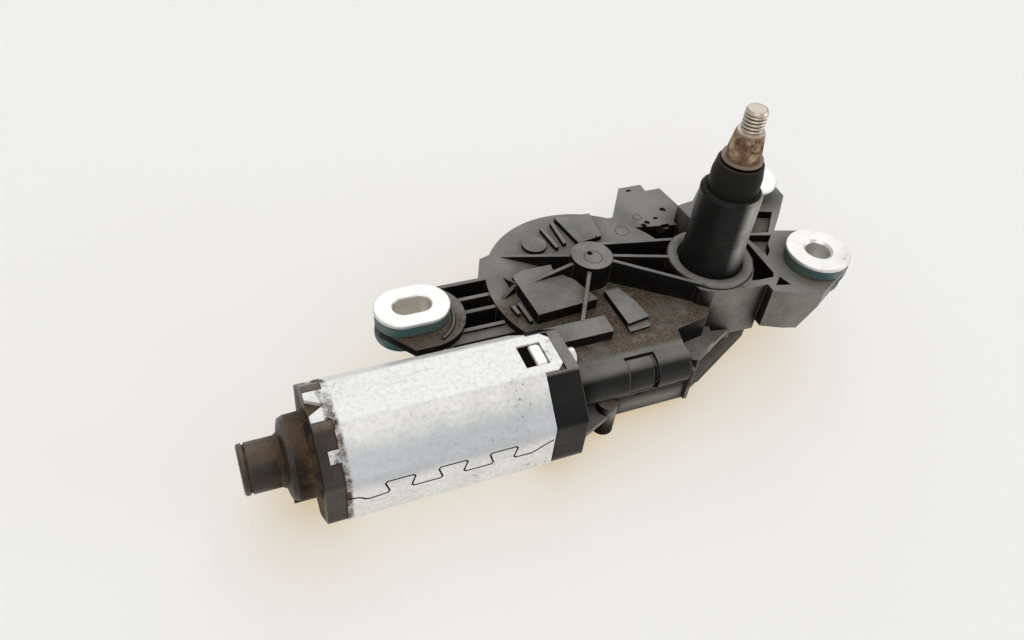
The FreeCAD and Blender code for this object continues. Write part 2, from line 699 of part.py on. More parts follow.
def make_gear_case():
    floor = case_bottom_z
    deck_low = deck_z - deck_thickness
    case = case_outline(0, floor, link_floor_z + 2.0)
    case = case.fuse(cylinder(wheel_x, wheel_y, floor, deck_z, deck_radius))
    case = case.cut(box(flange_right_x, 0, motor_y - 30, deck_front_y, motor_z + worm_tube_radius - 0.2, deck_z + 1))
    case = case.fuse(lobe_step(floor, deck_z)).fuse(prism(lobe_points(0), floor, deck_z))
    bridge = prism([(-40.0, 40.0), (0, tower_radius), (11.5, 32.0), (12.9, 12.0), (0, 0), facet_left,
                    wall_corner, (-27.0, deck_front_y), (-72.0, deck_front_y), (-72.0, 0.0)], deck_low - 0.5, deck_z)
    side = prism([(-27.0, deck_front_y), wall_corner, facet_left, (facet_left[0], -12.0), (-27.0, -12.0)],
                 link_floor_z, deck_z)
    case = case.fuse(bridge).fuse(side).fuse(front_wall(0, floor, motor_z))
    tube = motor_cylinder(flange_right_x - 0.5, worm_tube_right_x, worm_tube_radius)
    saddle = box(flange_right_x - 0.5, worm_tube_right_x, motor_y, motor_y + worm_tube_radius, motor_z, deck_z)
    saddle = saddle.cut(prism([(-90, -40), (-90, deck_front_y), (0, deck_front_y), (0, -40)], deck_z - 2.6, 0))
    slope = Part.Face(Part.makePolygon([
        V(flange_right_x - 0.5, motor_y, motor_z + worm_tube_radius), V(flange_right_x - 0.5, deck_front_y, deck_z),
        V(flange_right_x - 0.5, -20.0, deck_z), V(flange_right_x - 0.5, -20.0, motor_z),
        V(flange_right_x - 0.5, motor_y, motor_z), V(flange_right_x - 0.5, motor_y, motor_z + worm_tube_radius),
    ])).extrude(V(worm_tube_right_x - flange_right_x + 0.5, 0, 0))
    nose = motor_cylinder(worm_tube_right_x - 0.5, worm_tube_right_x + 1.6, worm_tube_radius - 1.6)
    case = case.fuse(tube).fuse(saddle).fuse(slope).fuse(nose)
    case = case.fuse(box(slab_x[0], slab_x[1], slab_front_y, motor_y, slab_bottom_z, motor_z))
    recess = box(window_x[0], window_x[1], motor_y - 30, motor_y, window_z[0], window_z[1])
    recess = recess.cut(motor_cylinder(window_x[0] - 1, window_x[1] + 1, worm_bore_radius + 0.4))
    upper = box(window_x[0], window_x[1], motor_y - 2, motor_y + 0.5, motor_z + worm_bore_radius + 0.5, window_z[1])
    pad = box(window_x[0] + 0.4, window_x[1] - 2.0, motor_y - 30, motor_y - 0.5, window_z[0], motor_z + 30)
    pad = pad.common(motor_ring(window_x[0], window_x[1], worm_tube_radius - 0.5, worm_bore_radius))
    case = case.cut(recess).cut(upper).fuse(pad)
    blade = box(slab_x[1] - 1.4, slab_x[1], slab_front_y - 1.0, front_line_y + 1.0, slab_bottom_z, motor_z + 1.0)
    pillar = cylinder(-19.6, front_line_y, floor, motor_z + 1.0, 2.2)
    case = case.fuse(blade).fuse(pillar).fuse(make_deck_lug())
    tower = revolve([
        (0, floor + 2.0), (tower_radius, floor + 2.0), (tower_radius, ring_z - 2.0),
        (tower_radius - 0.6, ring_z - 0.6), (tower_radius - 2.0, ring_z), (0, ring_z),
    ]).common(box(-60, 60, -60, 60, link_floor_z, 0))
    web = prism([(-15.0, -6.0), (-12.2, -14.0), facet_left, facet_right, (15.0, -19.2), (15.0, -16.2),
                 (4.0, -14.0), (4.0, -6.0)], link_floor_z, ring_z - 0.3)
    case = case.fuse(tower).fuse(web)
    case = case.fuse(cylinder(wheel_x, wheel_y + 1.2, deck_z - 1, hub_z, hub_radius))
    for wall in make_deck_ribs():
        case = case.fuse(wall)
    case = case.fuse(make_motor_flange()).fuse(make_front_ears()).fuse(make_rear_ear()).fuse(make_gusset())
    shift = ledge_width * math.hypot(1.0, corner_slope)
    ledge = prism([(-16.6, -60.0), (-16.6, ledge_y(-16.6) + shift), (40.0, ledge_y(40.0) + shift), (40.0, -60.0)],
                  floor + ledge_thickness, link_floor_z)
    case = case.cut(ledge)
    case = case.cut(box(slab_x[0] + case_wall, slab_x[1] - case_wall, slab_front_y + case_wall, front_line_y + 3.0,
                        slab_bottom_z + case_wall, motor_z - worm_tube_radius))
    case = case.fuse(prism([wall_corner, facet_left, facet_right, (facet_right[0], facet_right[1] + 1.6),
                            (facet_left[0], facet_left[1] + 1.6)], facet_bottom_z, link_floor_z + 1.0))
    lower = case_outline(case_wall, floor - 1, link_floor_z)
    case = case.cut(lower.common(prism([(-140, ledge_y(-140) + shift + corner_wall), (40.0, ledge_y(40.0) + shift + corner_wall),
                                        (40.0, 90.0), (-140, 90.0)], floor - 2, 0)))
    wheel_room_shape = cylinder(wheel_x, wheel_y, floor - 1, deck_low, deck_radius - case_wall)
    case = case.cut(wheel_room_shape.common(front_limit(case_wall, floor - 2, deck_low + 1)))
    case = case.cut(prism(lobe_points(case_wall), floor - 1, deck_low))
    for x, y in screw_places():
        case = case.fuse(cylinder(x, y, floor, screw_boss_top_z, screw_boss_radius))
    for screw in make_cover_screws():
        case = case.cut(screw)
    case = case.cut(motor_cylinder(flange_right_x - 3.0, worm_bore_right_x, worm_bore_radius))
    case = case.cut(cylinder(0, 0, tube_bottom_z, 0, tube_seat_radius))
    case = case.cut(cylinder(0, 0, link_floor_z - 1, 0, shaft_radius + open_gap))
    case = case.cut(cylinder(wheel_x, wheel_y, floor - 1, axle_top_z, axle_radius))
    case = case.cut(socket_block()).cut(flange_well())
    for hole in lobe_holes():
        case = case.cut(hole)
    return case.removeSplitter()


def make_gusset():
    """The web between the motor's flange and the front wall, and the screw boss under it."""
    web = prism([(flange_right_x - 0.5, -45.5), (-56.5, -37.4), (front_block[0] + 0.5, front_line_y), (front_block[0] + 0.5, -24.0),
                 (flange_right_x - 0.5, -24.0)], -52.0, -50.0)
    boss = cylinder(-56.3, -34.0, case_bottom_z - cover_thickness, -46.0, 4.0)
    return web.fuse(boss)


def make_deck_lug():
    """A lug on the rim of the deck, at the root of the slotted ear's arm."""
    return prism([(-75.0, 32.0), (-77.8, 34.7), (-82.2, 33.4), (-86.6, arm_y[1]), (-80.0, arm_y[1])], arm_low_z, deck_z)


def make_deck_ribs():
    hub = (wheel_x, wheel_y + 1.2)
    low = deck_z - 1.0
    thin = rib_thickness
    walls = [
        rib(hub, (-74.0, 33.0), low, hub_z, deck_z, thin),
        rib(hub, (-70.3, 10.8), low, hub_z, block_z, thin),
        rib(hub, (-60.5, -13.4), low, hub_z, block_z - 0.3, thin),
        rib(hub, (-11.0, -12.5), low, hub_z, ring_z + 1.0, thin),
        rib(hub, (-12.0, 4.0), low, hub_z, ring_z + 1.0, thin),
        rib((wheel_x + 3.0, wheel_y + 7.0), (-9.0, 14.0), low, hub_z, ring_z + 1.0, thin),
        rib((-76.3, 12.0), (-76.7, 21.0), low, block_z, deck_z, thin),
        rib((-75.2, 12.4), (-82.3, 9.7), low, block_z, deck_z, thin),
        rib((-52.4, 42.0), (-50.8, 29.5), low, bar_z, bar_z, thin),
        rib((-46.9, 44.5), (-46.9, 31.0), low, bar_z, bar_z, thin),
        rib((-80.6, 3.5), (-79.8, -1.0), low, bar_z, bar_z, thin),
        rib((-77.8, 4.2), (-76.9, -5.7), low, bar_z, bar_z, thin),
    ]
    block = prism([(-76.2, 15.5), (-71.5, 17.6), (-59.5, 17.6), (-60.0, 13.6), (-54.4, 7.6), (-50.1, -4.8), (-74.8, -6.4)],
                  low, block_z)
    second = prism([(-44.6, 0.3), (-38.8, 0.3), (-35.8, -8.0), (-34.7, -16.9), (-43.9, -18.2)], low, block_z - 2.0)
    step = prism([(-43.9, -17.0), (-34.8, -16.0), (-35.3, -20.0), (-43.9, -20.6)], low, deck_z + 1.2)
    plate = prism([(-44.6, 46.6), (-29.2, 45.6), (-30.6, 31.0), (-41.5, 29.5)], low, bar_z + 0.2)
    boss = cylinder(-58.8, 34.4, low, deck_z + 1.6, 4.9)
    shelf = box(flange_right_x - 1.0, -51.6, -21.2, -13.0, low, shelf_z)
    return walls + [block, second, step, plate, boss, shelf]


def make_motor_flange():
    flange = octagon(yoke_apothem - 0.3, yoke_corner_radius, yoke_right_x, flange_right_x)
    spigot = octagon(yoke_apothem - yoke_wall - 0.1, yoke_corner_radius - yoke_wall / 2, yoke_right_x - 3.0, yoke_right_x)
    top = motor_z + yoke_apothem
    notch = box(yoke_right_x - 4.0, yoke_right_x + tab_length + 0.3, motor_y - tab_width / 2 - 0.3,
                motor_y + tab_width / 2 + 0.3, top - yoke_wall - 0.1, top + 2)
    flange = flange.fuse(spigot).cut(notch)
    lug = box(yoke_right_x + 4.0, flange_right_x, motor_y - 7.0, motor_y + 5.0, motor_z - yoke_apothem - 0.0,
              motor_z - yoke_apothem + 3.0)
    return flange.fuse(lug)


def flange_well():
    return octagon(yoke_apothem - yoke_wall - flange_wall, 1.5, yoke_right_x - 4.0, flange_right_x - 3.0)


def make_front_ears():
    """The plate with both right-hand ears, its skirt and the pockets beside the tower."""
    outline = prism([
        (4.6, -18.8), (14.6, -19.2), (14.6, -22.9), (22.8, -26.6), (33.3, -29.6), (43.5, -24.1), (52.5, -19.5),
        (54.7, -11.9), (51.5, -2.5), (46.0, 5.4), (36.0, 8.2), (44.4, 16.9), (54.0, 27.6), (54.4, 36.0),
        (51.9, 45.7), (42.3, 51.8), (28.0, 49.6), (13.0, 35.0), (5.1, 33.7), (6.1, 22.0), (2.0, 8.0),
    ], ear_skirt_z, front_ear_z)
    low = ear_skirt_z - 0.5
    wedge = Part.makePolygon([V(28.0, -60, low), V(80.0, -60, low), V(80.0, -60, -24.2), V(33.5, -60, -26.2), V(28.0, -60, low)])
    outline = outline.cut(Part.Face(wedge).extrude(V(0, 140, 0)))
    body = outline
    for centre in (sleeve_a, sleeve_c):
        hollow = cylinder(centre[0], centre[1], low, front_ear_z - ear_thickness, grommet_flange_radius + open_gap)
        body = body.cut(hollow).cut(cylinder(centre[0], centre[1], low, 1, grommet_waist_radius))
    body = body.cut(cylinder(0, 0, ring_z, 0, tower_radius + 1.2))
    for points in pocket_outlines():
        body = body.cut(prism(points, front_ear_z - pocket_depth, 0))
    for points in deep_pocket_outlines():
        body = body.cut(prism(points, ear_skirt_z + case_wall, 0))
    return body


def pocket_outlines():
    """Shallow pockets with a floor."""
    return [
        [(24.3, 9.6), (32.9, 8.0), (42.4, 19.2), (36.4, 21.2)],
        [(22.3, 6.2), (24.2, 8.4), (32.9, 6.0), (28.6, 1.8), (27.0, -2.0), (24.0, -5.0)],
        [(30.0, 30.0), (26.0, 24.0), (33.0, 22.4), (35.6, 25.4)],
    ]


def deep_pocket_outlines():
    """The open cells beside the tower's ring."""
    return [
        [(18.6, 4.6), (20.6, 4.8), (20.6, -14.0), (19.1, -16.2), (9.3, -16.0), (14.0, -10.4), (17.0, -4.6)],
        [(21.7, -16.6), (23.4, -22.0), (17.4, -20.6)],
        [(20.0, 38.4), (17.6, 34.0), (10.0, 27.0), (12.5, 14.5), (17.5, 8.5), (21.5, 12.0), (24.0, 24.0), (24.6, 33.0)],
    ]


def make_rear_ear():
    """The slotted ear and the ribbed arm that carries it."""
    ear_low = rear_ear_z - ear_thickness
    plate = obround(sleeve_b, slot_flange_run, ear_b_radius, ear_low, rear_ear_z)
    left = sleeve_b[0] - slot_flange_run
    reach = slot_waist_radius + 0.8
    for angle in (143.0, 180.0, 217.0):
        chop = box(left - 60, left - reach, sleeve_b[1] - 60, sleeve_b[1] + 60, ear_low - 1, rear_ear_z + 1)
        chop.rotate(V(left, sleeve_b[1], 0), V(0, 0, 1), angle - 180.0)
        plate = plate.cut(chop)
    right = wheel_x - deck_radius + 3.0
    arm = box(sleeve_b[0] + 11.0, right, arm_y[0], arm_y[1], arm_low_z, rear_ear_z)
    arm = arm.cut(box(sleeve_b[0] + 10.0, right + 1.0, arm_y[0] + 5.0, arm_y[1] - rim_wall,
                      arm_low_z + case_wall, rear_ear_z + 1))
    arm = arm.cut(box(sleeve_b[0] + 10.0, right + 1.0, arm_y[0] - 1.0, arm_y[0] + 5.0, ear_low, rear_ear_z + 1))
    skirt = obround(sleeve_b, slot_flange_run, ear_b_radius, arm_low_z, ear_low + 0.5)
    skirt = skirt.cut(box(sleeve_b[0] - 40, sleeve_b[0] + 11.0, sleeve_b[1] - 40, sleeve_b[1] + 40, arm_low_z - 1, 0))
    plate = plate.fuse(skirt)
    for y, top in ((14.6, -0.6), (7.8, -0.6), (0.4, -2.0)):
        arm = arm.fuse(box(sleeve_b[0] + 16.0, right - 2.0, y - rim_wall / 2, y + rim_wall / 2, arm_low_z, rear_ear_z + top))
    clear = octagon(yoke_apothem + guard_gap, yoke_corner_radius, yoke_left_x - 8, yoke_right_x + 0.5)
    arm = arm.fuse(plate).cut(clear)
    below = obround(sleeve_b, slot_flange_run, slot_flange_radius + open_gap, arm_low_z - 1, ear_low)
    arm = arm.cut(below)
    return arm.cut(obround(sleeve_b, slot_run, slot_waist_radius, arm_low_z, 1))


def socket_block():
    return box(socket_x[0], socket_x[1], socket_y[0], socket_y[1] + 1.4, socket_z[0], socket_z[1])


def lobe_holes():
    return [
        box(-5.0, -2.6, lobe_end_y - 3.2, lobe_end_y - 2.0, deck_z - 1.2, deck_z + 1),
        cylinder(-6.4, 36.0, deck_z - 1.2, deck_z + 1, 1.2),
        box(-1.6, 2.2, 30.0, 33.0, deck_z - 2.0, deck_z + 1),
        cylinder(4.4, 42.0, deck_z - 1.2, deck_z + 1, 1.4),
    ]


def make_cover_plate():
    cover = case_outline(0, case_bottom_z - cover_thickness, case_bottom_z)
    lobe = prism(lobe_points(0), case_bottom_z - cover_thickness, case_bottom_z)
    step = lobe_step(case_bottom_z - cover_thickness, case_bottom_z)
    cover = cover.fuse(lobe).fuse(step).removeSplitter()
    for x, y in board_posts:
        cover = cover.fuse(cylinder(x, y, case_bottom_z - 0.5, board_z - board_thickness, 1.6))
    for screw in make_cover_screws():
        cover = cover.cut(screw)
    return cover


def make_spindle_tube():
    tube = revolve([
        (tube_bore_radius, tube_bottom_z), (tube_seat_radius, tube_bottom_z),
        (tube_seat_radius, ring_z), (tube_foot_radius, ring_z), (tube_radius, tube_foot_top_z),
        (tube_radius, tube_top_z - tube_ledge), (tube_radius - tube_ledge, tube_top_z), (tube_bore_radius, tube_top_z),
    ])
    return tube


def make_bush(z_low, z_high):
    return ring(0, 0, z_low, z_high, tube_bore_radius, shaft_radius + running_gap)


def make_seal_cap():
    top = cap_top_z
    return revolve([
        (cap_bore_radius, tube_top_z), (cap_radius, tube_top_z), (cap_radius, top - 5.0), (cap_lip_radius, top),
        (cap_lip_radius - 1.1, top), (cap_lip_radius - 1.1, top - cap_lip_depth), (cap_bore_radius, top - cap_lip_depth),
    ])


def make_retaining_ring():
    return ring(0, 0, spring_ring_z, spring_ring_z + ring_thickness, spring_ring_radius, shaft_radius)


def make_thrust_washer():
    low = cap_top_z - cap_lip_depth
    return ring(0, 0, low, spring_ring_z, cap_lip_radius - 1.4, shaft_radius)


def make_seal_ring():
    section = Part.Wire(Part.makeCircle(seal_section_radius, V(tube_bore_radius - seal_section_radius, 0, seal_z), V(0, 1, 0)))
    return Part.Face(section).revolve(V(0, 0, 0), V(0, 0, 1), 360)


def rounded_bar(centre, radius, half_run, z_low, z_high):
    """A round bar, or one with two round ends where it is long along X."""
    if half_run == 0:
        return cylinder(centre[0], centre[1], z_low, z_high, radius)
    return obround(centre, half_run, radius, z_low, z_high)


def make_sleeve(centre, top, flange_radius, bore_radius, mouth_edge, flange_run=0.0, bore_run=0.0):
    """An aluminium sleeve with a flange on top and a rounded mouth."""
    body = rounded_bar(centre, flange_radius, flange_run, top - sleeve_flange_thickness, top)
    rim = [e for e in body.Edges if e.BoundBox.ZMin > top - 0.1]
    body = body.makeFillet(sleeve_rim_round, rim)
    low = top - sleeve_length
    tube = rounded_bar(centre, bore_radius + sleeve_wall, bore_run, low, top - 0.2)
    bore = rounded_bar(centre, bore_radius, bore_run, low - 1, top + 1)
    body = body.fuse(tube).cut(bore)
    inside = bore_radius + bore_run
    mouth = [e for e in body.Edges if e.BoundBox.ZMin > top - 0.1 and e.BoundBox.XLength < 2 * inside + 0.1
             and abs(e.BoundBox.Center.x - centre[0]) < inside]
    return body.makeChamfer(mouth_edge, mouth)


def make_grommet(centre, top, ear_top, flange_radius, bore_radius, waist_radius, flange_run=0.0, bore_run=0.0):
    """A rubber bush with one flange above the ear and one below it."""
    low = ear_top - ear_thickness
    bottom = low - grommet_foot
    body = rounded_bar(centre, flange_radius, flange_run, ear_top, top - sleeve_flange_thickness)
    body = body.makeFillet(grommet_round, [e for e in body.Edges if e.BoundBox.ZLength < 0.1])
    under = rounded_bar(centre, flange_radius, flange_run, bottom, low)
    under = under.makeFillet(grommet_round, [e for e in under.Edges if e.BoundBox.ZLength < 0.1])
    waist = rounded_bar(centre, waist_radius, bore_run, bottom + 1.0, ear_top + 1.0)
    body = body.fuse(under).fuse(waist)
    return body.cut(rounded_bar(centre, bore_radius + sleeve_wall, bore_run, bottom - 1, top + 1))


def make_wheel_axle():
    return cylinder(wheel_x, wheel_y, rod_top_z + 0.5, axle_top_z, axle_radius)


def make_axle_clip():
    low = motor_z - wheel_width / 2 - 0.2 - 0.9
    return ring(wheel_x, wheel_y, low, low + 0.9, axle_radius + 2.0, axle_radius)


def make_circuit_board():
    near = socket_y[0]
    board = prism([(-12.0, near - 4.5), (-8.0, near - 0.4), (8.2, near - 0.4), (8.2, near - 11.0), (-4.0, near - 9.2)],
                  board_z - board_thickness, board_z)
    for pin in connector_pin_shapes():
        board = board.cut(pin)
    return board


def make_connector_housing():
    block = box(socket_x[0], socket_x[1], socket_y[0], socket_y[1], socket_z[0], socket_z[1])
    hollow = box(socket_x[0] + socket_wall, socket_x[1] - socket_wall, socket_y[0] + 2.0, socket_y[1] + 1.4,
                 socket_z[0] + socket_wall, socket_z[1] - socket_wall)
    block = block.cut(hollow)
    for pin in connector_pin_shapes():
        block = block.cut(pin)
    return block


def connector_pin_shapes():
    """Bent blades, from the board up and out into the socket."""
    pins = []
    for k in range(pin_count):
        x = socket_x[0] + 2.6 + k * pin_pitch
        z = (socket_z[0] + socket_z[1]) / 2
        near = socket_y[0] - 1.8
        blade = box(x - 0.4, x + 0.4, near, socket_y[1] - 3.6, z - 1.2, z + 1.2)
        leg = box(x - 0.4, x + 0.4, near, near + 0.8, board_z - board_thickness, z)
        pins.append(blade.fuse(leg).removeSplitter())
    return pins


def make_connector_pins():
    return Part.makeCompound(connector_pin_shapes())


def make_cover_screws():
    screws = []
    for x, y in screw_places():
        screws.append(revolve([
            (0, case_bottom_z - cover_thickness), (screw_head_radius, case_bottom_z - cover_thickness),
            (screw_radius, case_bottom_z - cover_thickness + screw_head_radius - screw_radius),
            (screw_radius, case_bottom_z + screw_grip), (0, case_bottom_z + screw_grip + 0.8),
        ], x, y))
    return screws


def build_all():
    parts = {
        "gear_case": make_gear_case(),
        "cover_plate": make_cover_plate(),
        "cover_screws": Part.makeCompound(make_cover_screws()),
        "spindle_tube": make_spindle_tube(),
        "upper_bush": make_bush(upper_bush_top_z - bush_length, upper_bush_top_z),
        "lower_bush": make_bush(lower_bush_bottom_z, lower_bush_bottom_z + bush_length),
        "seal_cap": make_seal_cap(),
        "retaining_ring": make_retaining_ring(),
        "thrust_washer": make_thrust_washer(),
        "shaft_seal": make_seal_ring(),
        "wiper_shaft": make_wiper_shaft(),
        "output_lever": make_output_lever(),
        "lever_pin": make_lever_pin(),
        "connecting_rod": make_connecting_rod(),
        "crank_pin": make_crank_pin(),
        "worm_wheel": make_worm_wheel(),
        "wheel_axle": make_wheel_axle(),
        "axle_clip": make_axle_clip(),
        "armature_shaft": make_armature_shaft(),
        "lamination_stack": make_lamination_stack(),
        "windings": make_windings(),
        "commutator": make_commutator(),
        "motor_yoke": make_motor_yoke(),
        "magnet_clip": make_magnet_clip(),
        "end_cap": make_end_cap(),
        "rear_bearing": make_bearing(cap_end_x + 3.0, cap_end_x + 12.0, bearing_radius),
        "middle_bearing": make_bearing(flange_right_x - 1.0, flange_right_x - 1.0 + bearing_length, worm_bore_radius),
        "tail_bearing": make_bearing(wheel_x + worm_length / 2 + 2.1, worm_bore_right_x, worm_bore_radius),
        "brush_holder": make_brush_holder(),
        "brushes": make_brushes(),
        "brush_springs": make_brush_springs(),
        "front_sleeve": make_sleeve(sleeve_a, sleeve_top_z, sleeve_flange_radius, sleeve_bore_radius, sleeve_mouth),
        "front_grommet": make_grommet(sleeve_a, sleeve_top_z, front_ear_z, grommet_flange_radius,
                                      sleeve_bore_radius, grommet_waist_radius),
        "back_sleeve": make_sleeve(sleeve_c, sleeve_top_z, sleeve_flange_radius, sleeve_bore_radius, sleeve_mouth),
        "back_grommet": make_grommet(sleeve_c, sleeve_top_z, front_ear_z, grommet_flange_radius,
                                     sleeve_bore_radius, grommet_waist_radius),
        "slotted_sleeve": make_sleeve(sleeve_b, slotted_top_z, slot_flange_radius, slot_bore_radius,
                                      slot_mouth_edge, slot_flange_run, slot_run),
        "slotted_grommet": make_grommet(sleeve_b, slotted_top_z, rear_ear_z, slot_flange_radius - 0.3,
                                        slot_bore_radius, slot_waist_radius, slot_flange_run, slot_run),
        "circuit_board": make_circuit_board(),
        "connector_housing": make_connector_housing(),
        "connector_pins": make_connector_pins(),
    }
    for k in range(4):
        parts["magnet_%d" % (k + 1)] = make_magnet(45.0 + 90.0 * k)
    return parts


def main():
    os.makedirs("parts", exist_ok=True)
    for name, shape in build_all().items():
        shape.exportStep("parts/%s.step" % name)
        solids = len(shape.Solids)
        size = shape.BoundBox
        print(name, shape.isValid(), solids, round(shape.Volume), [round(v, 1) for v in (
            size.XMin, size.XMax, size.YMin, size.YMax, size.ZMin, size.ZMax)])


if __name__ == "__main__":
    main()
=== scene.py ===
import json
import math
import bpy
import bmesh
from mathutils import Matrix, Vector


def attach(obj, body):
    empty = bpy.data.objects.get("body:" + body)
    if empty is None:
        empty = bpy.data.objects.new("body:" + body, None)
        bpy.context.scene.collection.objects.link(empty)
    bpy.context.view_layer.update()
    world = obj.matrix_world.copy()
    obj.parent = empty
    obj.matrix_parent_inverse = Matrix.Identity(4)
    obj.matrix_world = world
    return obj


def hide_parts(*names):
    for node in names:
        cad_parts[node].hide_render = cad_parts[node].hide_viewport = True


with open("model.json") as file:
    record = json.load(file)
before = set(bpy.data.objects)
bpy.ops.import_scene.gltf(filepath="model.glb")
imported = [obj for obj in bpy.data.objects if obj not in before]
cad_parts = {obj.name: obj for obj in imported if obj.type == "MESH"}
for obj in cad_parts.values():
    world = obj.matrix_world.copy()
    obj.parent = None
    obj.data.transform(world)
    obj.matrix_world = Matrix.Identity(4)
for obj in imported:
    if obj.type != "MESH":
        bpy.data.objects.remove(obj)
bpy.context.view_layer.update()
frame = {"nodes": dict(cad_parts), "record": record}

mm = 0.001
print("frame loaded with", len(frame["nodes"]), "nodes")

# camera, solved from the photo; lens and place in mm, angles in degrees, nearest in metres
camera = {
    "lens": 31.64, "nearest": 0.01,
    "azimuth": -27.36, "elevation": 44.23, "roll": 7.45,
    "place": (-190.2, -209.2, 199.7),
}

# studio; floor height in mm, floor size in metres
studio = {
    "floorZ": -60.9, "floorSize": 16.0, "floorRoughness": 0.95,
    "floorColour": (0.27, 0.425, 0.66),
    "glowColour": (0.556, 0.396, 0.158), "floorGlow": 1.0,  # the glow makes the shadows warm
    "worldColour": (1.0, 0.985, 0.96), "worldStrength": 0.58,
}

# soft suns, with the spread of each in degrees
suns = {
    "backWindow": {"from": (0.4, 0.75, 0.73), "strength": 0.72, "spread": 50, "colour": (0.95, 0.98, 1.0)},
    "topPanel": {"from": (-0.3, 0.1, 0.98), "strength": 0.34, "spread": 60, "colour": (0.97, 0.985, 1.0)},
    "nearPanel": {"from": (-0.45, -0.75, 0.78), "strength": 0.86, "spread": 45, "colour": (1.0, 0.995, 0.98)},
    "sideWindow": {"from": (0.8, -0.4, 0.19), "strength": 0.95, "spread": 30, "colour": (1.0, 0.99, 0.97)},
}


def makeCamera():
    azimuth, elevation, roll = (math.radians(camera[k]) for k in ("azimuth", "elevation", "roll"))
    back = Vector((
        math.sin(azimuth) * math.cos(elevation),
        -math.cos(azimuth) * math.cos(elevation),
        math.sin(elevation),
    ))
    right = Vector((math.cos(azimuth), math.sin(azimuth), 0))
    up = back.cross(right)
    across = right * math.cos(roll) + up * math.sin(roll)
    above = up * math.cos(roll) - right * math.sin(roll)
    data = bpy.data.cameras.new("photoCamera")
    data.lens = camera["lens"]
    data.clip_start = camera["nearest"]
    holder = bpy.data.objects.new("photoCamera", data)
    bpy.context.collection.objects.link(holder)
    turn = Matrix((across, above, back)).transposed().to_4x4()
    holder.matrix_world = Matrix.Translation(Vector(camera["place"]) * mm) @ turn
    bpy.context.scene.camera = holder
    print("camera set")


def makeFloor():
    mesh = bpy.data.meshes.new("floor")
    half = studio["floorSize"] / 2
    z = studio["floorZ"] * mm
    corners = [(-half, -half, z), (half, -half, z), (half, half, z), (-half, half, z)]
    mesh.from_pydata(corners, [], [(0, 1, 2, 3)])
    floor = bpy.data.objects.new("floor", mesh)
    bpy.context.collection.objects.link(floor)
    paper = bpy.data.materials.new("paleFloor")
    paper.use_nodes = True
    shader = paper.node_tree.nodes["Principled BSDF"]
    shader.inputs["Base Color"].default_value = (*studio["floorColour"], 1)
    shader.inputs["Roughness"].default_value = studio["floorRoughness"]
    shader.inputs["Emission Color"].default_value = (*studio["glowColour"], 1)
    shader.inputs["Emission Strength"].default_value = studio["floorGlow"]
    floor.data.materials.append(paper)


def makeStudio():
    makeFloor()
    world = bpy.data.worlds.new("studio")
    bpy.context.scene.world = world
    world.use_nodes = True
    background = world.node_tree.nodes["Background"]
    background.inputs["Color"].default_value = (*studio["worldColour"], 1)
    background.inputs["Strength"].default_value = studio["worldStrength"]
    for name, sun in suns.items():
        data = bpy.data.lights.new(name, "SUN")
        data.energy = sun["strength"]
        data.angle = math.radians(sun["spread"])
        data.color = sun["colour"]
        holder = bpy.data.objects.new(name, data)
        bpy.context.collection.objects.link(holder)
        holder.location = Vector(sun["from"])
        holder.rotation_euler = Vector(sun["from"]).to_track_quat("Z", "Y").to_euler()
    bpy.context.scene.view_settings.view_transform = "Standard"
    print("studio lit by", len(suns), "suns")


# node helpers, for materials and for geometry trees

number, wholeNumber = "NodeSocketFloat", "NodeSocketInt"
vector, geometry = "NodeSocketVector", "NodeSocketGeometry"


def addNode(tree, kind, **values):
    made = tree.nodes.new(kind)
    for key, value in values.items():
        setattr(made, key, value)
    return made


# a socket's input: another socket, a colour or a plain value
def feed(tree, socket, value):
    if isinstance(value, bpy.types.NodeSocket):
        tree.links.new(value, socket)
    elif isinstance(value, tuple) and socket.type == "RGBA":
        socket.default_value = (*value, 1)
    else:
        socket.default_value = value


# a node with its inputs fed by label or by place
def wired(tree, kind, inputs, **values):
    made = addNode(tree, kind, **values)
    for label, value in inputs.items():
        feed(tree, made.inputs[label], value)
    return made


def calc(tree, operation, a, b=None, clamp=False):
    made = addNode(tree, "ShaderNodeMath", operation=operation, use_clamp=clamp)
    feed(tree, made.inputs[0], a)
    if b is not None:
        feed(tree, made.inputs[1], b)
    return made.outputs[0]


# several values multiplied in turn; the clamp holds the last product between 0 and 1
def times(tree, *factors, clamp=False):
    product = factors[0]
    for count, factor in enumerate(factors[1:], 2):
        product = calc(tree, "MULTIPLY", product, factor, clamp and count == len(factors))
    return product


# carries a value from one range to another and holds it at both ends
def spanOf(tree, value, low, high, newLow=0.0, newHigh=1.0, kind="SMOOTHSTEP"):
    return wired(tree, "ShaderNodeMapRange", {
        "Value": value, "From Min": low, "From Max": high, "To Min": newLow, "To Max": newHigh,
    }, interpolation_type=kind).outputs[0]


def straightSpan(tree, value, low, high, newLow, newHigh):
    return spanOf(tree, value, low, high, newLow, newHigh, "LINEAR")


def noiseOf(tree, here, scale, detail=4.0, rough=0.5):
    return wired(tree, "ShaderNodeTexNoise", {
        "Vector": here, "Scale": scale, "Detail": detail, "Roughness": rough}).outputs["Fac"]


def stretched(tree, here, factors):
    return wired(tree, "ShaderNodeMapping", {"Vector": here, "Scale": factors}).outputs[0]


def splitUp(tree, value):
    return wired(tree, "ShaderNodeSeparateXYZ", {"Vector": value}).outputs


def opennessOf(tree, reach, samples):
    return wired(tree, "ShaderNodeAmbientOcclusion", {"Distance": reach}, samples=samples).outputs["AO"]


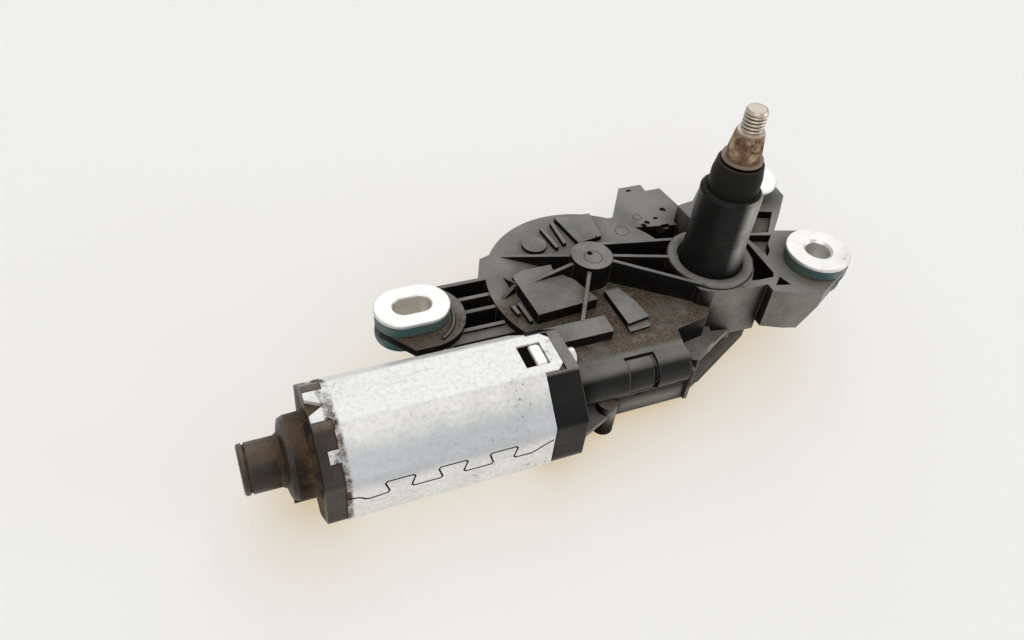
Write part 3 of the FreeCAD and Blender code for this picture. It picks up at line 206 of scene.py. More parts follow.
def startGroup(name, inputs, outputs, kind="ShaderNodeTree"):
    group = bpy.data.node_groups.new(name, kind)
    for label, socketKind, value in inputs:
        socket = group.interface.new_socket(label, in_out="INPUT", socket_type=socketKind)
        if value is not None:
            socket.default_value = value
    for label, socketKind in outputs:
        group.interface.new_socket(label, in_out="OUTPUT", socket_type=socketKind)
    return group, addNode(group, "NodeGroupInput").outputs, addNode(group, "NodeGroupOutput").inputs


# shared effects; a span is given as its ends, a noise as scale, detail and roughness,
# or as the last two where its scale is an input of the group

wearLook = {"samples": 4, "noise": 420.0}


# worn edges: where a rounded normal leaves the true one, broken up by noise
def makeEdgeWear():
    group, given, out = startGroup(
        "edgeWear", [("Vector", vector, None), ("Width", number, 0.0005), ("Amount", number, 1.0)],
        [("Mask", number)])
    bevel = wired(group, "ShaderNodeBevel", {"Radius": given["Width"]}, samples=wearLook["samples"])
    normal = addNode(group, "ShaderNodeNewGeometry").outputs["Normal"]
    dot = wired(group, "ShaderNodeVectorMath", {0: bevel.outputs[0], 1: normal}, operation="DOT_PRODUCT")
    edge = calc(group, "SUBTRACT", 1.0, dot.outputs["Value"], True)
    noise = noiseOf(group, given["Vector"], wearLook["noise"])
    feed(group, out["Mask"], times(group, edge, noise, given["Amount"], clamp=True))
    return group


dustAndLightLook = {
    "slope": (0.72, 0.96), "open": (0.78, 1.0), "samples": 6,
    "driftNoise": (6.0, 0.62), "drift": (0.25, 0.62, 0.55, 1.02),
    "speckleNoise": (1500.0, 2.0), "speckle": (0.2, 0.7, 0.78, 1.05),
}


# Top: dust and painted sheen on faces that look up. Side: a thin film on walls that stand in the open, which
# paints light on them and leaves the recesses dark.
def makeDustAndLightGroup():
    group, given, out = startGroup(
        "dustAndLightGroup", [("Vector", vector, None), ("Scale", number, 60.0), ("Reach", number, 0.012)],
        [("Top", number), ("Side", number)])
    normal = splitUp(group, addNode(group, "ShaderNodeNewGeometry").outputs["Normal"])
    upward = spanOf(group, normal["Z"], *dustAndLightLook["slope"])
    driftNoise = noiseOf(group, given["Vector"], given["Scale"], *dustAndLightLook["driftNoise"])
    speckleNoise = noiseOf(group, given["Vector"], *dustAndLightLook["speckleNoise"])
    filmAndPaintedLight = times(group, straightSpan(group, driftNoise, *dustAndLightLook["drift"]),
                 straightSpan(group, speckleNoise, *dustAndLightLook["speckle"]))
    # painted shade: occlusion keeps the film off walls in recesses
    openness = spanOf(group, opennessOf(group, given["Reach"], dustAndLightLook["samples"]), *dustAndLightLook["open"])
    feed(group, out["Top"], times(group, upward, filmAndPaintedLight, clamp=True))
    feed(group, out["Side"], times(group, openness, filmAndPaintedLight, clamp=True))
    return group


dirtLook = {
    "corner": (0.95, 0.45), "samples": 6,
    "clumpNoise": (7.0, 0.66), "clump": (0.4, 0.6), "crumbNoise": (2300.0, 4.0, 0.75),
}


# dirt that gathers in corners and clings in crumbs
def makeCornerDirt():
    group, given, out = startGroup(
        "cornerDirt",
        [("Vector", vector, None), ("Scale", number, 180.0), ("Reach", number, 0.006),
         ("Amount", number, 1.0)],
        [("Mask", number), ("Crumbs", number)])
    corner = spanOf(group, opennessOf(group, given["Reach"], dirtLook["samples"]), *dirtLook["corner"])
    clumpNoise = noiseOf(group, given["Vector"], given["Scale"], *dirtLook["clumpNoise"])
    clump = spanOf(group, clumpNoise, *dirtLook["clump"])
    feed(group, out["Mask"], times(group, corner, clump, given["Amount"], clamp=True))
    feed(group, out["Crumbs"], noiseOf(group, given["Vector"], *dirtLook["crumbNoise"]))
    return group


grainLook = {"detail": 3.0, "mottleShare": 0.09, "mottleDetail": 6.0}


# height of a fine moulded grain, with a broad mottle as the second output
def makeMouldGrain():
    group, given, out = startGroup(
        "mouldGrain", [("Vector", vector, None), ("Scale", number, 900.0)],
        [("Height", number), ("Mottle", number)])
    broad = times(group, given["Scale"], grainLook["mottleShare"])
    feed(group, out["Height"], noiseOf(group, given["Vector"], given["Scale"], grainLook["detail"]))
    feed(group, out["Mottle"], noiseOf(group, given["Vector"], broad, grainLook["mottleDetail"]))
    return group


speckLook = {
    "speckNoise": (4.0, 0.6), "speck": (0.605, 0.665), "patchNoise": (5.0, 0.6), "patch": (0.5, 0.66),
    "scuffStretch": (0.12, 1.0, 1.0), "scuffNoise": (420.0, 4.0, 0.6), "scuff": (0.6, 0.7),
}


# rust or dirt specks, long scuffs, and the patches that the specks gather in
def makeSpecks():
    group, given, out = startGroup(
        "specksAndScuffs", [("Vector", vector, None), ("Size", number, 500.0), ("Spread", number, 45.0)],
        [("Specks", number), ("Scuffs", number), ("Patches", number)])
    speckNoise = noiseOf(group, given["Vector"], given["Size"], *speckLook["speckNoise"])
    patchNoise = noiseOf(group, given["Vector"], given["Spread"], *speckLook["patchNoise"])
    patches = spanOf(group, patchNoise, *speckLook["patch"])
    feed(group, out["Specks"], times(group, spanOf(group, speckNoise, *speckLook["speck"]), patches))
    along = stretched(group, given["Vector"], speckLook["scuffStretch"])
    scuffNoise = noiseOf(group, along, *speckLook["scuffNoise"])
    feed(group, out["Scuffs"], spanOf(group, scuffNoise, *speckLook["scuff"]))
    feed(group, out["Patches"], patches)
    return group


edgeWear, dustAndLightGroup, cornerDirt = makeEdgeWear(), makeDustAndLightGroup(), makeCornerDirt()
mouldGrain, specksAndScuffs = makeMouldGrain(), makeSpecks()


# materials; lengths and places in metres, colours as red, green and blue

mottleSpan = (0.3, 0.7)  # the part of the mottle that changes the roughness
roundingSamples = 4


def startMaterial(name):
    material = bpy.data.materials.new(name)
    material.use_nodes = True
    tree = material.node_tree
    here = addNode(tree, "ShaderNodeTexCoord").outputs["Object"]
    return material, tree, tree.nodes["Principled BSDF"].inputs, here


def place(tree, group, coordinate, **values):
    return wired(tree, "ShaderNodeGroup", {"Vector": coordinate, **values}, node_tree=group).outputs


def blendColour(tree, factor, below, above):
    return wired(tree, "ShaderNodeMix", {"Factor": factor, 6: below, 7: above}, data_type="RGBA").outputs[2]


# a bump from a height, over edges that are rounded a little
def roughen(tree, sockets, height, finish):
    bevel = wired(tree, "ShaderNodeBevel", {"Radius": finish["rounding"]}, samples=roundingSamples)
    bump = wired(tree, "ShaderNodeBump", {
        "Strength": finish["bump"], "Distance": finish["bumpHeight"],
        "Height": height, "Normal": bevel.outputs[0]})
    feed(tree, sockets["Normal"], bump.outputs[0])


openShare = 1.01  # what open faces keep where hidden ones lose some

# what a moulded finish has where it names nothing else
plasticFinish = {
    "grain": 900.0, "bump": 0.25, "bumpHeight": 0.0002, "rounding": 0.0004,
    "roughness": (0.42, 0.62), "specular": 0.5, "hiddenSpecular": 0.01, "shining": (0.2, 1.0),
    "wear": 1.0, "wearWidth": 0.0005, "worn": (0.3, 0.29, 0.27),
    "dustAndPaintedLight": 0.0, "dustScale": 60.0, "dustAndSheenColour": (0.2, 0.2, 0.19),
    "filmAndPaintedLight": 0.0, "filmAndLightColour": (0.11, 0.1, 0.09),
    "dirt": 0.0, "dirtScale": 190.0, "dirtReach": 0.006, "sideDirt": openShare, "dirtSlope": (0.0, 0.6),
    "dirtDark": (0.03, 0.018, 0.01), "dirtLight": (0.27, 0.17, 0.09), "dirtHeight": 4.0,
}


# sandy dirt that lies on low floors, between two heights and towards the near side
def sandyFloor(tree, colour, here, apart, dustAndPaintedLight, dirt, sand):
    level = times(tree, spanOf(tree, apart["Z"], *sand["below"]), spanOf(tree, apart["Z"], *sand["above"]),
                  spanOf(tree, apart["Y"], *sand["near"]))
    patches = spanOf(tree, noiseOf(tree, here, *sand["noise"]), *sand["patches"])
    lying = times(tree, times(tree, level, dustAndPaintedLight["Top"]), patches)
    grains = blendColour(tree, spanOf(tree, dirt["Crumbs"], *sand["grains"]), sand["dark"], sand["light"])
    return blendColour(tree, times(tree, lying, sand["amount"], clamp=True), colour, grains)


# moulded plastic or rubber: grain, dust and painted sheen on top, a film on open walls that paints light,
# brown dirt in corners, worn edges
def mouldedPlastic(name, changes):
    finish = {**plasticFinish, **changes}
    material, tree, sockets, here = startMaterial(name)
    grain = place(tree, mouldGrain, here, Scale=finish["grain"])
    wear = place(tree, edgeWear, here, Width=finish["wearWidth"], Amount=finish["wear"])
    dustAndPaintedLight = place(tree, dustAndLightGroup, here, Scale=finish["dustScale"])
    dirt = place(tree, cornerDirt, here, Scale=finish["dirtScale"], Reach=finish["dirtReach"],
                 Amount=finish["dirt"])
    apart = splitUp(tree, here)
    colour = blendColour(tree, grain["Mottle"], finish["dark"], finish["light"])
    filmAndPaintedLight = times(tree, dustAndPaintedLight["Side"], finish["filmAndPaintedLight"])
    lying = times(tree, dustAndPaintedLight["Top"], finish["dustAndPaintedLight"])
    # walls deep in the pits reflect next to nothing, open ones shine
    shine = straightSpan(tree, dustAndPaintedLight["Side"], *finish["shining"], finish["hiddenSpecular"], finish["specular"])
    rough = straightSpan(tree, grain["Mottle"], *mottleSpan, *finish["roughness"])
    if "low" in finish:
        # below the deck: another gloss, and a little less of the up-facing grey, which paints a highlight
        # stripe along the top of the worm tube
        low = finish["low"]
        shine = times(tree, shine, straightSpan(tree, apart["Z"], *low["step"], low["specular"], openShare))
        rough = times(tree, rough, straightSpan(tree, apart["Z"], *low["step"], low["roughness"], openShare))
        lying = times(tree, lying, spanOf(tree, apart["Z"], *low["step"], low["dustAndPaintedLight"], 1.0))
    if "paintedLightFrom" in finish:
        # painted light: the film only on the walls right of one place, as if lit from the right, and below
        # one height, as if lit from the floor
        right = spanOf(tree, apart["X"], *finish["paintedLightFrom"]["right"])
        under = spanOf(tree, apart["Z"], *finish["paintedLightFrom"]["under"])
        filmAndPaintedLight = times(tree, filmAndPaintedLight, calc(tree, "MAXIMUM", right, under))
    colour = blendColour(tree, filmAndPaintedLight, colour, finish["filmAndLightColour"])
    colour = blendColour(tree, lying, colour, finish["dustAndSheenColour"])
    colour = blendColour(tree, wear["Mask"], colour, finish["worn"])
    # dirt lies in the corners and clings less to the walls beside them
    resting = straightSpan(tree, dustAndPaintedLight["Top"], *finish["dirtSlope"], finish["sideDirt"], openShare)
    crumbs = blendColour(tree, dirt["Crumbs"], finish["dirtDark"], finish["dirtLight"])
    colour = blendColour(tree, times(tree, dirt["Mask"], resting, clamp=True), colour, crumbs)
    if "sand" in finish:
        colour = sandyFloor(tree, colour, here, apart, dustAndPaintedLight, dirt, finish["sand"])
    feed(tree, sockets["Base Color"], colour)
    feed(tree, sockets["Roughness"], rough)
    feed(tree, sockets["Specular IOR Level"], shine)
    heap = times(tree, dirt["Mask"], dirt["Crumbs"], finish["dirtHeight"])
    roughen(tree, sockets, calc(tree, "ADD", grain["Height"], heap), finish)
    return material


# what a bare metal has where it names nothing else
metalFinish = {
    "grain": 1400.0, "bump": 0.15, "bumpHeight": 0.0001, "rounding": 0.0003,
    "roughness": (0.28, 0.5), "metallic": 1.0,
    "wear": 0.8, "wearWidth": 0.0004, "worn": (0.86, 0.85, 0.83),
    "speck": 0.5, "speckSize": 520.0, "spread": 45.0, "speckColour": (0.08, 0.06, 0.05),
    "scuff": 0.2, "scuffColour": (0.4, 0.4, 0.4), "cloud": 0.2, "cloudColour": (0.5, 0.52, 0.55),
}


# painted shade: a darker, bluer band along the can's near side, between two heights, with a wandering edge
def paintedShadeBand(tree, colour, here, apart, band):
    wander = times(tree, noiseOf(tree, here, *band["noise"]), band["wander"])
    level = calc(tree, "ADD", apart["Z"], wander)
    inside = times(tree, spanOf(tree, level, *band["below"]), spanOf(tree, level, *band["above"]),
                   spanOf(tree, apart["Y"], *band["near"]))
    return blendColour(tree, times(tree, inside, band["amount"]), colour, band["colour"])


# rust is rougher than the metal under it and not metallic
def rustOver(tree, sockets, rough, rusty, rust, metallic):
    feed(tree, sockets["Metallic"], times(tree, calc(tree, "SUBTRACT", 1.0, rusty), metallic))
    return calc(tree, "ADD", rough, times(tree, rusty, rust["rougher"]), True)


# rust along the rim at one end of the can
def rimRust(tree, colour, here, apart, grain, rim):
    off = calc(tree, "ABSOLUTE", calc(tree, "SUBTRACT", apart["X"], rim["end"]))
    ragged = calc(tree, "ADD", off, times(tree, noiseOf(tree, here, *rim["edgeNoise"]), rim["ragged"]))
    patches = spanOf(tree, noiseOf(tree, here, *rim["patchNoise"]), *rim["patches"])
    rusty = times(tree, spanOf(tree, ragged, rim["reach"], 0.0), patches)
    brown = blendColour(tree, grain["Height"], rim["dark"], rim["light"])
    return blendColour(tree, rusty, colour, brown), rusty


# brown rust in patches between two heights, over a stain, and the dark roots of the thread
def coneRust(tree, colour, here, apart, cone):
    level = times(tree, spanOf(tree, apart["Z"], *cone["below"]), spanOf(tree, apart["Z"], *cone["above"]))
    colour = blendColour(tree, times(tree, level, cone["stain"]), colour, cone["stainColour"])
    flat = stretched(tree, here, (1.0, 1.0, 0.0))
    wide = wired(tree, "ShaderNodeVectorMath", {0: flat}, operation="LENGTH")
    root = times(tree, spanOf(tree, wide.outputs["Value"], *cone["rootRadius"]),
                 spanOf(tree, apart["Z"], *cone["rootsAbove"]), spanOf(tree, apart["Z"], *cone["rootsBelow"]))
    colour = blendColour(tree, root, colour, cone["rootColour"])
    patches = spanOf(tree, noiseOf(tree, here, *cone["patchNoise"]), *cone["patches"])
    rusty = times(tree, times(tree, level, patches), cone["amount"], clamp=True)
    mottle = spanOf(tree, noiseOf(tree, here, *cone["mottleNoise"]), *cone["mottle"])
    return blendColour(tree, rusty, colour, blendColour(tree, mottle, cone["dark"], cone["light"])), rusty


# bare or plated metal: mottle, specks, scuffs, patches of rust and worn edges
def bareMetal(name, changes):
    finish = {**metalFinish, **changes}
    material, tree, sockets, here = startMaterial(name)
    sockets["Metallic"].default_value = finish["metallic"]
    grain = place(tree, mouldGrain, here, Scale=finish["grain"])
    wear = place(tree, edgeWear, here, Width=finish["wearWidth"], Amount=finish["wear"])
    marks = place(tree, specksAndScuffs, here, Size=finish["speckSize"], Spread=finish["spread"])
    apart = splitUp(tree, here)
    colour = blendColour(tree, grain["Mottle"], finish["dark"], finish["light"])
    colour = blendColour(tree, times(tree, marks["Patches"], finish["cloud"]), colour, finish["cloudColour"])
    colour = blendColour(tree, times(tree, marks["Scuffs"], finish["scuff"]), colour, finish["scuffColour"])
    colour = blendColour(tree, wear["Mask"], colour, finish["worn"])
    colour = blendColour(tree, times(tree, marks["Specks"], finish["speck"]), colour, finish["speckColour"])
    rough = straightSpan(tree, grain["Mottle"], *mottleSpan, *finish["roughness"])
    if "spangle" in finish:
        # fine crystals of the plating
        spangle = finish["spangle"]
        crystals = spanOf(tree, noiseOf(tree, here, *spangle["noise"]), *spangle["crystals"])
        colour = blendColour(tree, times(tree, crystals, spangle["amount"]), colour, spangle["colour"])
    # painted shade band on the can's near side
    if "band" in finish:
        colour = paintedShadeBand(tree, colour, here, apart, finish["band"])
    if "rimRust" in finish:
        colour, rusty = rimRust(tree, colour, here, apart, grain, finish["rimRust"])
        rough = rustOver(tree, sockets, rough, rusty, finish["rimRust"], finish["metallic"])
    if "coneRust" in finish:
        colour, rusty = coneRust(tree, colour, here, apart, finish["coneRust"])
        rough = rustOver(tree, sockets, rough, rusty, finish["coneRust"], finish["metallic"])
    feed(tree, sockets["Base Color"], colour)
    feed(tree, sockets["Roughness"], rough)
    roughen(tree, sockets, grain["Height"], finish)
    return material


# finishes; "low" is the case below its deck, and the place given after a film is where that film, which is
# painted light, starts
# the case: the grey on faces that look up is dust and painted sheen, the grey below the deck also a painted
# highlight, and the film painted light on the walls at the right and at the bottom
caseFinish = {
    "dark": (0.004, 0.004, 0.0045), "light": (0.008, 0.008, 0.008), "roughness": (0.34, 0.5), "specular": 0.2,
    "dustAndPaintedLight": 0.95, "dustAndSheenColour": (0.205, 0.203, 0.19),
    "low": {"step": (-0.0315, -0.0295), "dustAndPaintedLight": 0.85, "specular": 1.6, "roughness": 0.6},
    "filmAndPaintedLight": 1.0, "filmAndLightColour": (0.19, 0.183, 0.168),
    "paintedLightFrom": {"right": (-0.0125, -0.0075), "under": (-0.0445, -0.0505)},
    "wear": 1.9, "wearWidth": 0.0006, "dirt": 0.6, "sideDirt": 0.12,
    "sand": {
        "above": (-0.03, -0.0292), "below": (-0.0272, -0.028), "near": (0.013, 0.003), "amount": 0.95,
        "noise": (120.0, 7.0, 0.7), "patches": (0.3, 0.5), "grains": (0.44, 0.74),
        "dark": (0.028, 0.018, 0.012), "light": (0.3, 0.2, 0.13),
    },
}
# the spindle tube: its film is painted light, a lighter right half as if lit from the right
tubeFinish = {
    "dark": (0.006, 0.006, 0.0065), "light": (0.011, 0.011, 0.011), "roughness": (0.3, 0.4), "specular": 0.16,
    "dustAndPaintedLight": 0.1, "dustScale": 140.0, "filmAndPaintedLight": 1.0, "filmAndLightColour": (0.34, 0.33, 0.31),
    "paintedLightFrom": {"right": (-0.002, 0.003), "under": (-1.0, -1.006)},
    "wear": 0.5, "bump": 0.1,
}
rubberFinish = {
    "dark": (0.006, 0.006, 0.006), "light": (0.012, 0.012, 0.012), "roughness": (0.4, 0.55), "specular": 0.1,
    "dustAndPaintedLight": 0.4, "dustAndSheenColour": (0.12, 0.11, 0.1), "filmAndPaintedLight": 0.03, "wear": 0.3,
}
endCapFinish = {
    "dark": (0.008, 0.007, 0.006), "light": (0.022, 0.017, 0.014),
    "roughness": (0.26, 0.46), "specular": 0.55,
    "dustAndPaintedLight": 0.75, "dustAndSheenColour": (0.12, 0.08, 0.054), "filmAndPaintedLight": 0.2, "filmAndLightColour": (0.07, 0.05, 0.04),
    "wear": 0.8, "worn": (0.25, 0.21, 0.18), "dirt": 0.9, "dirtReach": 0.009,
}
tealFinish = {
    "dark": (0.028, 0.062, 0.066), "light": (0.06, 0.115, 0.112), "roughness": (0.42, 0.6),
    "dustAndPaintedLight": 0.35, "dustAndSheenColour": (0.3, 0.36, 0.33), "filmAndPaintedLight": 0.35, "filmAndLightColour": (0.16, 0.2, 0.19),
    "wear": 0.5, "worn": (0.33, 0.42, 0.4), "dirt": 0.55,
}
aluminiumFinish = {
    "dark": (0.63, 0.62, 0.61), "light": (0.79, 0.78, 0.76), "roughness": (0.3, 0.46), "metallic": 0.85,
    "speck": 0.7, "speckSize": 800.0, "scuff": 0.25, "cloud": 0.35, "cloudColour": (0.5, 0.47, 0.45),
}
zincFinish = {
    "dark": (0.68, 0.68, 0.67), "light": (0.85, 0.85, 0.84), "roughness": (0.42, 0.56), "metallic": 0.45,
    "speck": 0.95, "speckSize": 600.0, "speckColour": (0.16, 0.14, 0.11), "scuff": 0.3,
    "cloud": 0.22, "cloudColour": (0.52, 0.52, 0.5),
    "spangle": {
        "noise": (620.0, 5.0, 0.75), "crystals": (0.42, 0.66), "amount": 0.4, "colour": (0.42, 0.43, 0.43)},
    # painted shade on the can's near side
    "band": {
        "above": (-0.0385, -0.0325), "below": (-0.0205, -0.0275), "near": (-0.038, -0.042),
        "noise": (60.0, 5.0, 0.6), "wander": -0.005, "amount": 0.58, "colour": (0.33, 0.36, 0.39),
    },
    "rimRust": {
        "end": -0.1571, "reach": 0.0014, "edgeNoise": (520.0, 6.0, 0.7), "ragged": -0.0022,
        "patchNoise": (170.0, 5.0, 0.7), "patches": (0.36, 0.6), "rougher": 0.4,
        "dark": (0.015, 0.008, 0.005), "light": (0.1, 0.045, 0.02),
    },
}
brightFinish = {
    "dark": (0.74, 0.74, 0.73), "light": (0.88, 0.88, 0.86), "roughness": (0.35, 0.5), "metallic": 0.5,
    "speck": 0.4,
}
shaftFinish = {
    "dark": (0.36, 0.3, 0.24), "light": (0.6, 0.53, 0.44), "roughness": (0.3, 0.45), "metallic": 0.8,
    "speck": 0.5, "speckColour": (0.12, 0.07, 0.03), "rounding": 0.00015, "bump": 0.3,
    "coneRust": {
        "above": (0.0255, 0.0265), "below": (0.0392, 0.0372), "amount": 0.95, "rougher": 0.35,
        "stain": 0.75, "stainColour": (0.42, 0.3, 0.18),
        "patchNoise": (170.0, 7.0, 0.65), "patches": (0.4, 0.56),
        "mottleNoise": (900.0, 5.0, 0.7), "mottle": (0.35, 0.65),
        "dark": (0.04, 0.014, 0.005), "light": (0.2, 0.085, 0.03),
        "rootRadius": (0.0038, 0.0034), "rootsAbove": (0.0392, 0.0396), "rootsBelow": (0.0464, 0.0458),
        "rootColour": (0.05, 0.028, 0.014),
    },
}
steelFinish = {"dark": (0.32, 0.31, 0.3), "light": (0.5, 0.49, 0.47)}
ringFinish = {
    "dark": (0.1, 0.07, 0.05), "light": (0.34, 0.25, 0.17), "roughness": (0.45, 0.65), "metallic": 0.6,
    "speck": 0.8,
}
bronzeFinish = {"dark": (0.45, 0.29, 0.13), "light": (0.62, 0.43, 0.22)}
copperFinish = {"dark": (0.5, 0.2, 0.08), "light": (0.75, 0.36, 0.18)}
gearFinish = {"dark": (0.62, 0.59, 0.5), "light": (0.78, 0.75, 0.66), "wear": 0.1, "worn": (0.8, 0.78, 0.7)}
ferriteFinish = {"dark": (0.03, 0.03, 0.032), "light": (0.07, 0.07, 0.07), "wear": 0.5}
boardFinish = {"dark": (0.01, 0.09, 0.04), "light": (0.02, 0.16, 0.07), "wear": 0.1}
contactFinish = {"dark": (0.6, 0.55, 0.42), "light": (0.8, 0.76, 0.65)}
# near-black: painted shade in the pockets and the window, the dark joint of the can's seam, the scores and
# the thrust washer
shadeAndJointFinish = {
    "dark": (0.003, 0.003, 0.003), "light": (0.006, 0.005, 0.004), "roughness": (0.6, 0.8), "specular": 0.03,
    "wear": 0.0,
}
markFinish = {
    "dark": (0.03, 0.028, 0.026), "light": (0.06, 0.055, 0.05), "roughness": (0.5, 0.7), "wear": 0.2}

slotMaterials = {
    "case": mouldedPlastic("casePlastic", caseFinish),
    "tube_plastic": mouldedPlastic("tubePlastic", tubeFinish),
    "black_rubber": mouldedPlastic("blackRubber", rubberFinish),
    "teal_rubber": mouldedPlastic("tealRubber", tealFinish),
    "aluminium": bareMetal("turnedAluminium", aluminiumFinish),
    "zinc_steel": bareMetal("zincSteel", zincFinish),
    "shaft_steel": bareMetal("shaftSteel", shaftFinish),
    "dark_steel": bareMetal("darkSteel", steelFinish),
    "bronze": bareMetal("sinteredBronze", bronzeFinish),
    "copper": bareMetal("enamelledCopper", copperFinish),
    "gear_plastic": mouldedPlastic("gearPlastic", gearFinish),
    "ferrite": mouldedPlastic("ferrite", ferriteFinish),
    "core_steel": bareMetal("coreSteel", steelFinish),
    "carbon": mouldedPlastic("carbon", ferriteFinish),
    "board": mouldedPlastic("circuitBoard", boardFinish),
    "contact": bareMetal("tinnedContact", contactFinish),
}
endCapPlastic = mouldedPlastic("endCapPlastic", endCapFinish)
rustyRing = bareMetal("rustyRing", ringFinish)
brightLug = bareMetal("brightLug", brightFinish)
shadeAndJointBlack = mouldedPlastic("shadeAndJointBlack", shadeAndJointFinish)
fadedMark = mouldedPlastic("fadedMark", markFinish)
print("made", len(bpy.data.materials), "materials")


def dressNodes():
    slotOf = {entry["node"]: entry["material_slot"] for entry in frame["record"]["subparts"]}
    # the thrust washer is made near-black
    special = {"end_cap": endCapPlastic, "retaining_ring": rustyRing, "thrust_washer": shadeAndJointBlack}
    for name, piece in frame["nodes"].items():
        piece.data.materials.clear()
        piece.data.materials.append(special.get(name, slotMaterials[slotOf[name]]))
    print("dressed", len(slotOf), "nodes")


# pieces; all their sizes and places in mm

neverSharp = 180  # degrees, for beads that are smooth all round
beadSides = 24
mergeReach = 1e-7  # metres


def addPiece(name, mesh, material, body="root", smooth=40):
    piece = bpy.data.objects.new(name, mesh)
    bpy.context.collection.objects.link(piece)
    mesh.materials.clear()
    mesh.materials.append(material)
    mesh.polygons.foreach_set("use_smooth", [True] * len(mesh.polygons))
    mesh.set_sharp_from_angle(angle=math.radians(smooth))
    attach(piece, body)
    return piece


def fromBmesh(name, shape):
    bmesh.ops.remove_doubles(shape, verts=shape.verts, dist=mergeReach)
    bmesh.ops.recalc_face_normals(shape, faces=shape.faces)
    mesh = bpy.data.meshes.new(name)
    shape.to_mesh(mesh)
    shape.free()
    return mesh


# walls between rings of points that have the same count
def joinRings(shape, rings):
    for low, high in zip(rings, rings[1:]):
        for k in range(len(low)):
            n = (k + 1) % len(low)
            shape.faces.new((low[k], low[n], high[n], high[k]))


# a closed turned shape; profile as (radius, height), up the outside, with a radius of 0 at a pole
def turned(name, profile, centre=(0, 0), steps=72):
    shape = bmesh.new()
    turns = [math.tau * k / steps for k in range(steps)]
    rings = []
    for radius, height in profile:
        spots = turns if radius > 0 else turns[:1]
        rings.append([shape.verts.new((
            (centre[0] + radius * math.cos(a)) * mm, (centre[1] + radius * math.sin(a)) * mm, height * mm,
        )) for a in spots])
    for low, high in zip(rings, rings[1:]):
        for k in range(steps):
            n = (k + 1) % steps
            corners = (low[k % len(low)], low[n % len(low)], high[n % len(high)], high[k % len(high)])
            face = list(dict.fromkeys(corners))
            if len(face) > 2:
                shape.faces.new(face)
    return fromBmesh(name, shape)


# runs a geometry tree on a small base mesh and keeps the result as a plain mesh
def baked(name, tree, values, base=None):
    holder = bpy.data.objects.new(name, base or bpy.data.meshes.new(name))
    bpy.context.collection.objects.link(holder)
    modifier = holder.modifiers.new("build", "NODES")
    modifier.node_group = tree
    for item in tree.interface.items_tree:
        if item.item_type == "SOCKET" and item.in_out == "INPUT" and item.name in values:
            modifier[item.identifier] = values[item.name]
    graph = bpy.context.evaluated_depsgraph_get()
    mesh = bpy.data.meshes.new_from_object(holder.evaluated_get(graph))
    mesh.name = name
    holder.modifiers.remove(modifier)
    bpy.data.objects.remove(holder)
    return mesh


def geometryTree(name, inputs):
    inputs = [("Geometry", geometry, None)] + inputs
    return startGroup(name, inputs, [("Geometry", geometry)], "GeometryNodeTree")


def finishTree(tree, out, made, material):
    real = wired(tree, "GeometryNodeRealizeInstances", {"Geometry": made})
    paint = wired(tree, "GeometryNodeSetMaterial", {"Geometry": real.outputs[0], "Material": material})
    feed(tree, out["Geometry"], paint.outputs[0])


def joinedPlace(tree, x=0.0, y=0.0, z=0.0):
    return wired(tree, "ShaderNodeCombineXYZ", {"X": x, "Y": y, "Z": z}).outputs[0]


# wiper shaft, turned: the same heights and radii as its node, with a cut thread and a knurled cone
shaft = {
    "profile": [(0, -53.8), (5.4, -53.8), (6.0, -53.2), (6.0, 29.6), (6.1, 30.0),
                (4.75, 38.9), (3.5, 39.3), (3.5, 39.9), (0, 39.9)],
    "threadLow": 39.3, "threadHigh": 47.1, "threadRadius": 4.0, "threadDepth": 0.75,
    "pitch": 1.35, "dome": 1.5,
    "knurls": 30, "knurlLow": 30.6, "knurlHigh": 38.2, "knurlLowRadius": 5.88, "knurlHighRadius": 4.86,
    "knurlSize": 0.34, "knurlSides": 6, "knurlTopShare": 0.8,
}

# how the thread is cut; spans are shares of the dome and of the radius
threadCut = {
    "around": 64, "along": 72, "across": 6, "crest": 0.8,
    "runOut": (0.85, 1.0), "skin": (0.9, 0.99), "domePower": 2.2, "domeShare": 0.16,
}


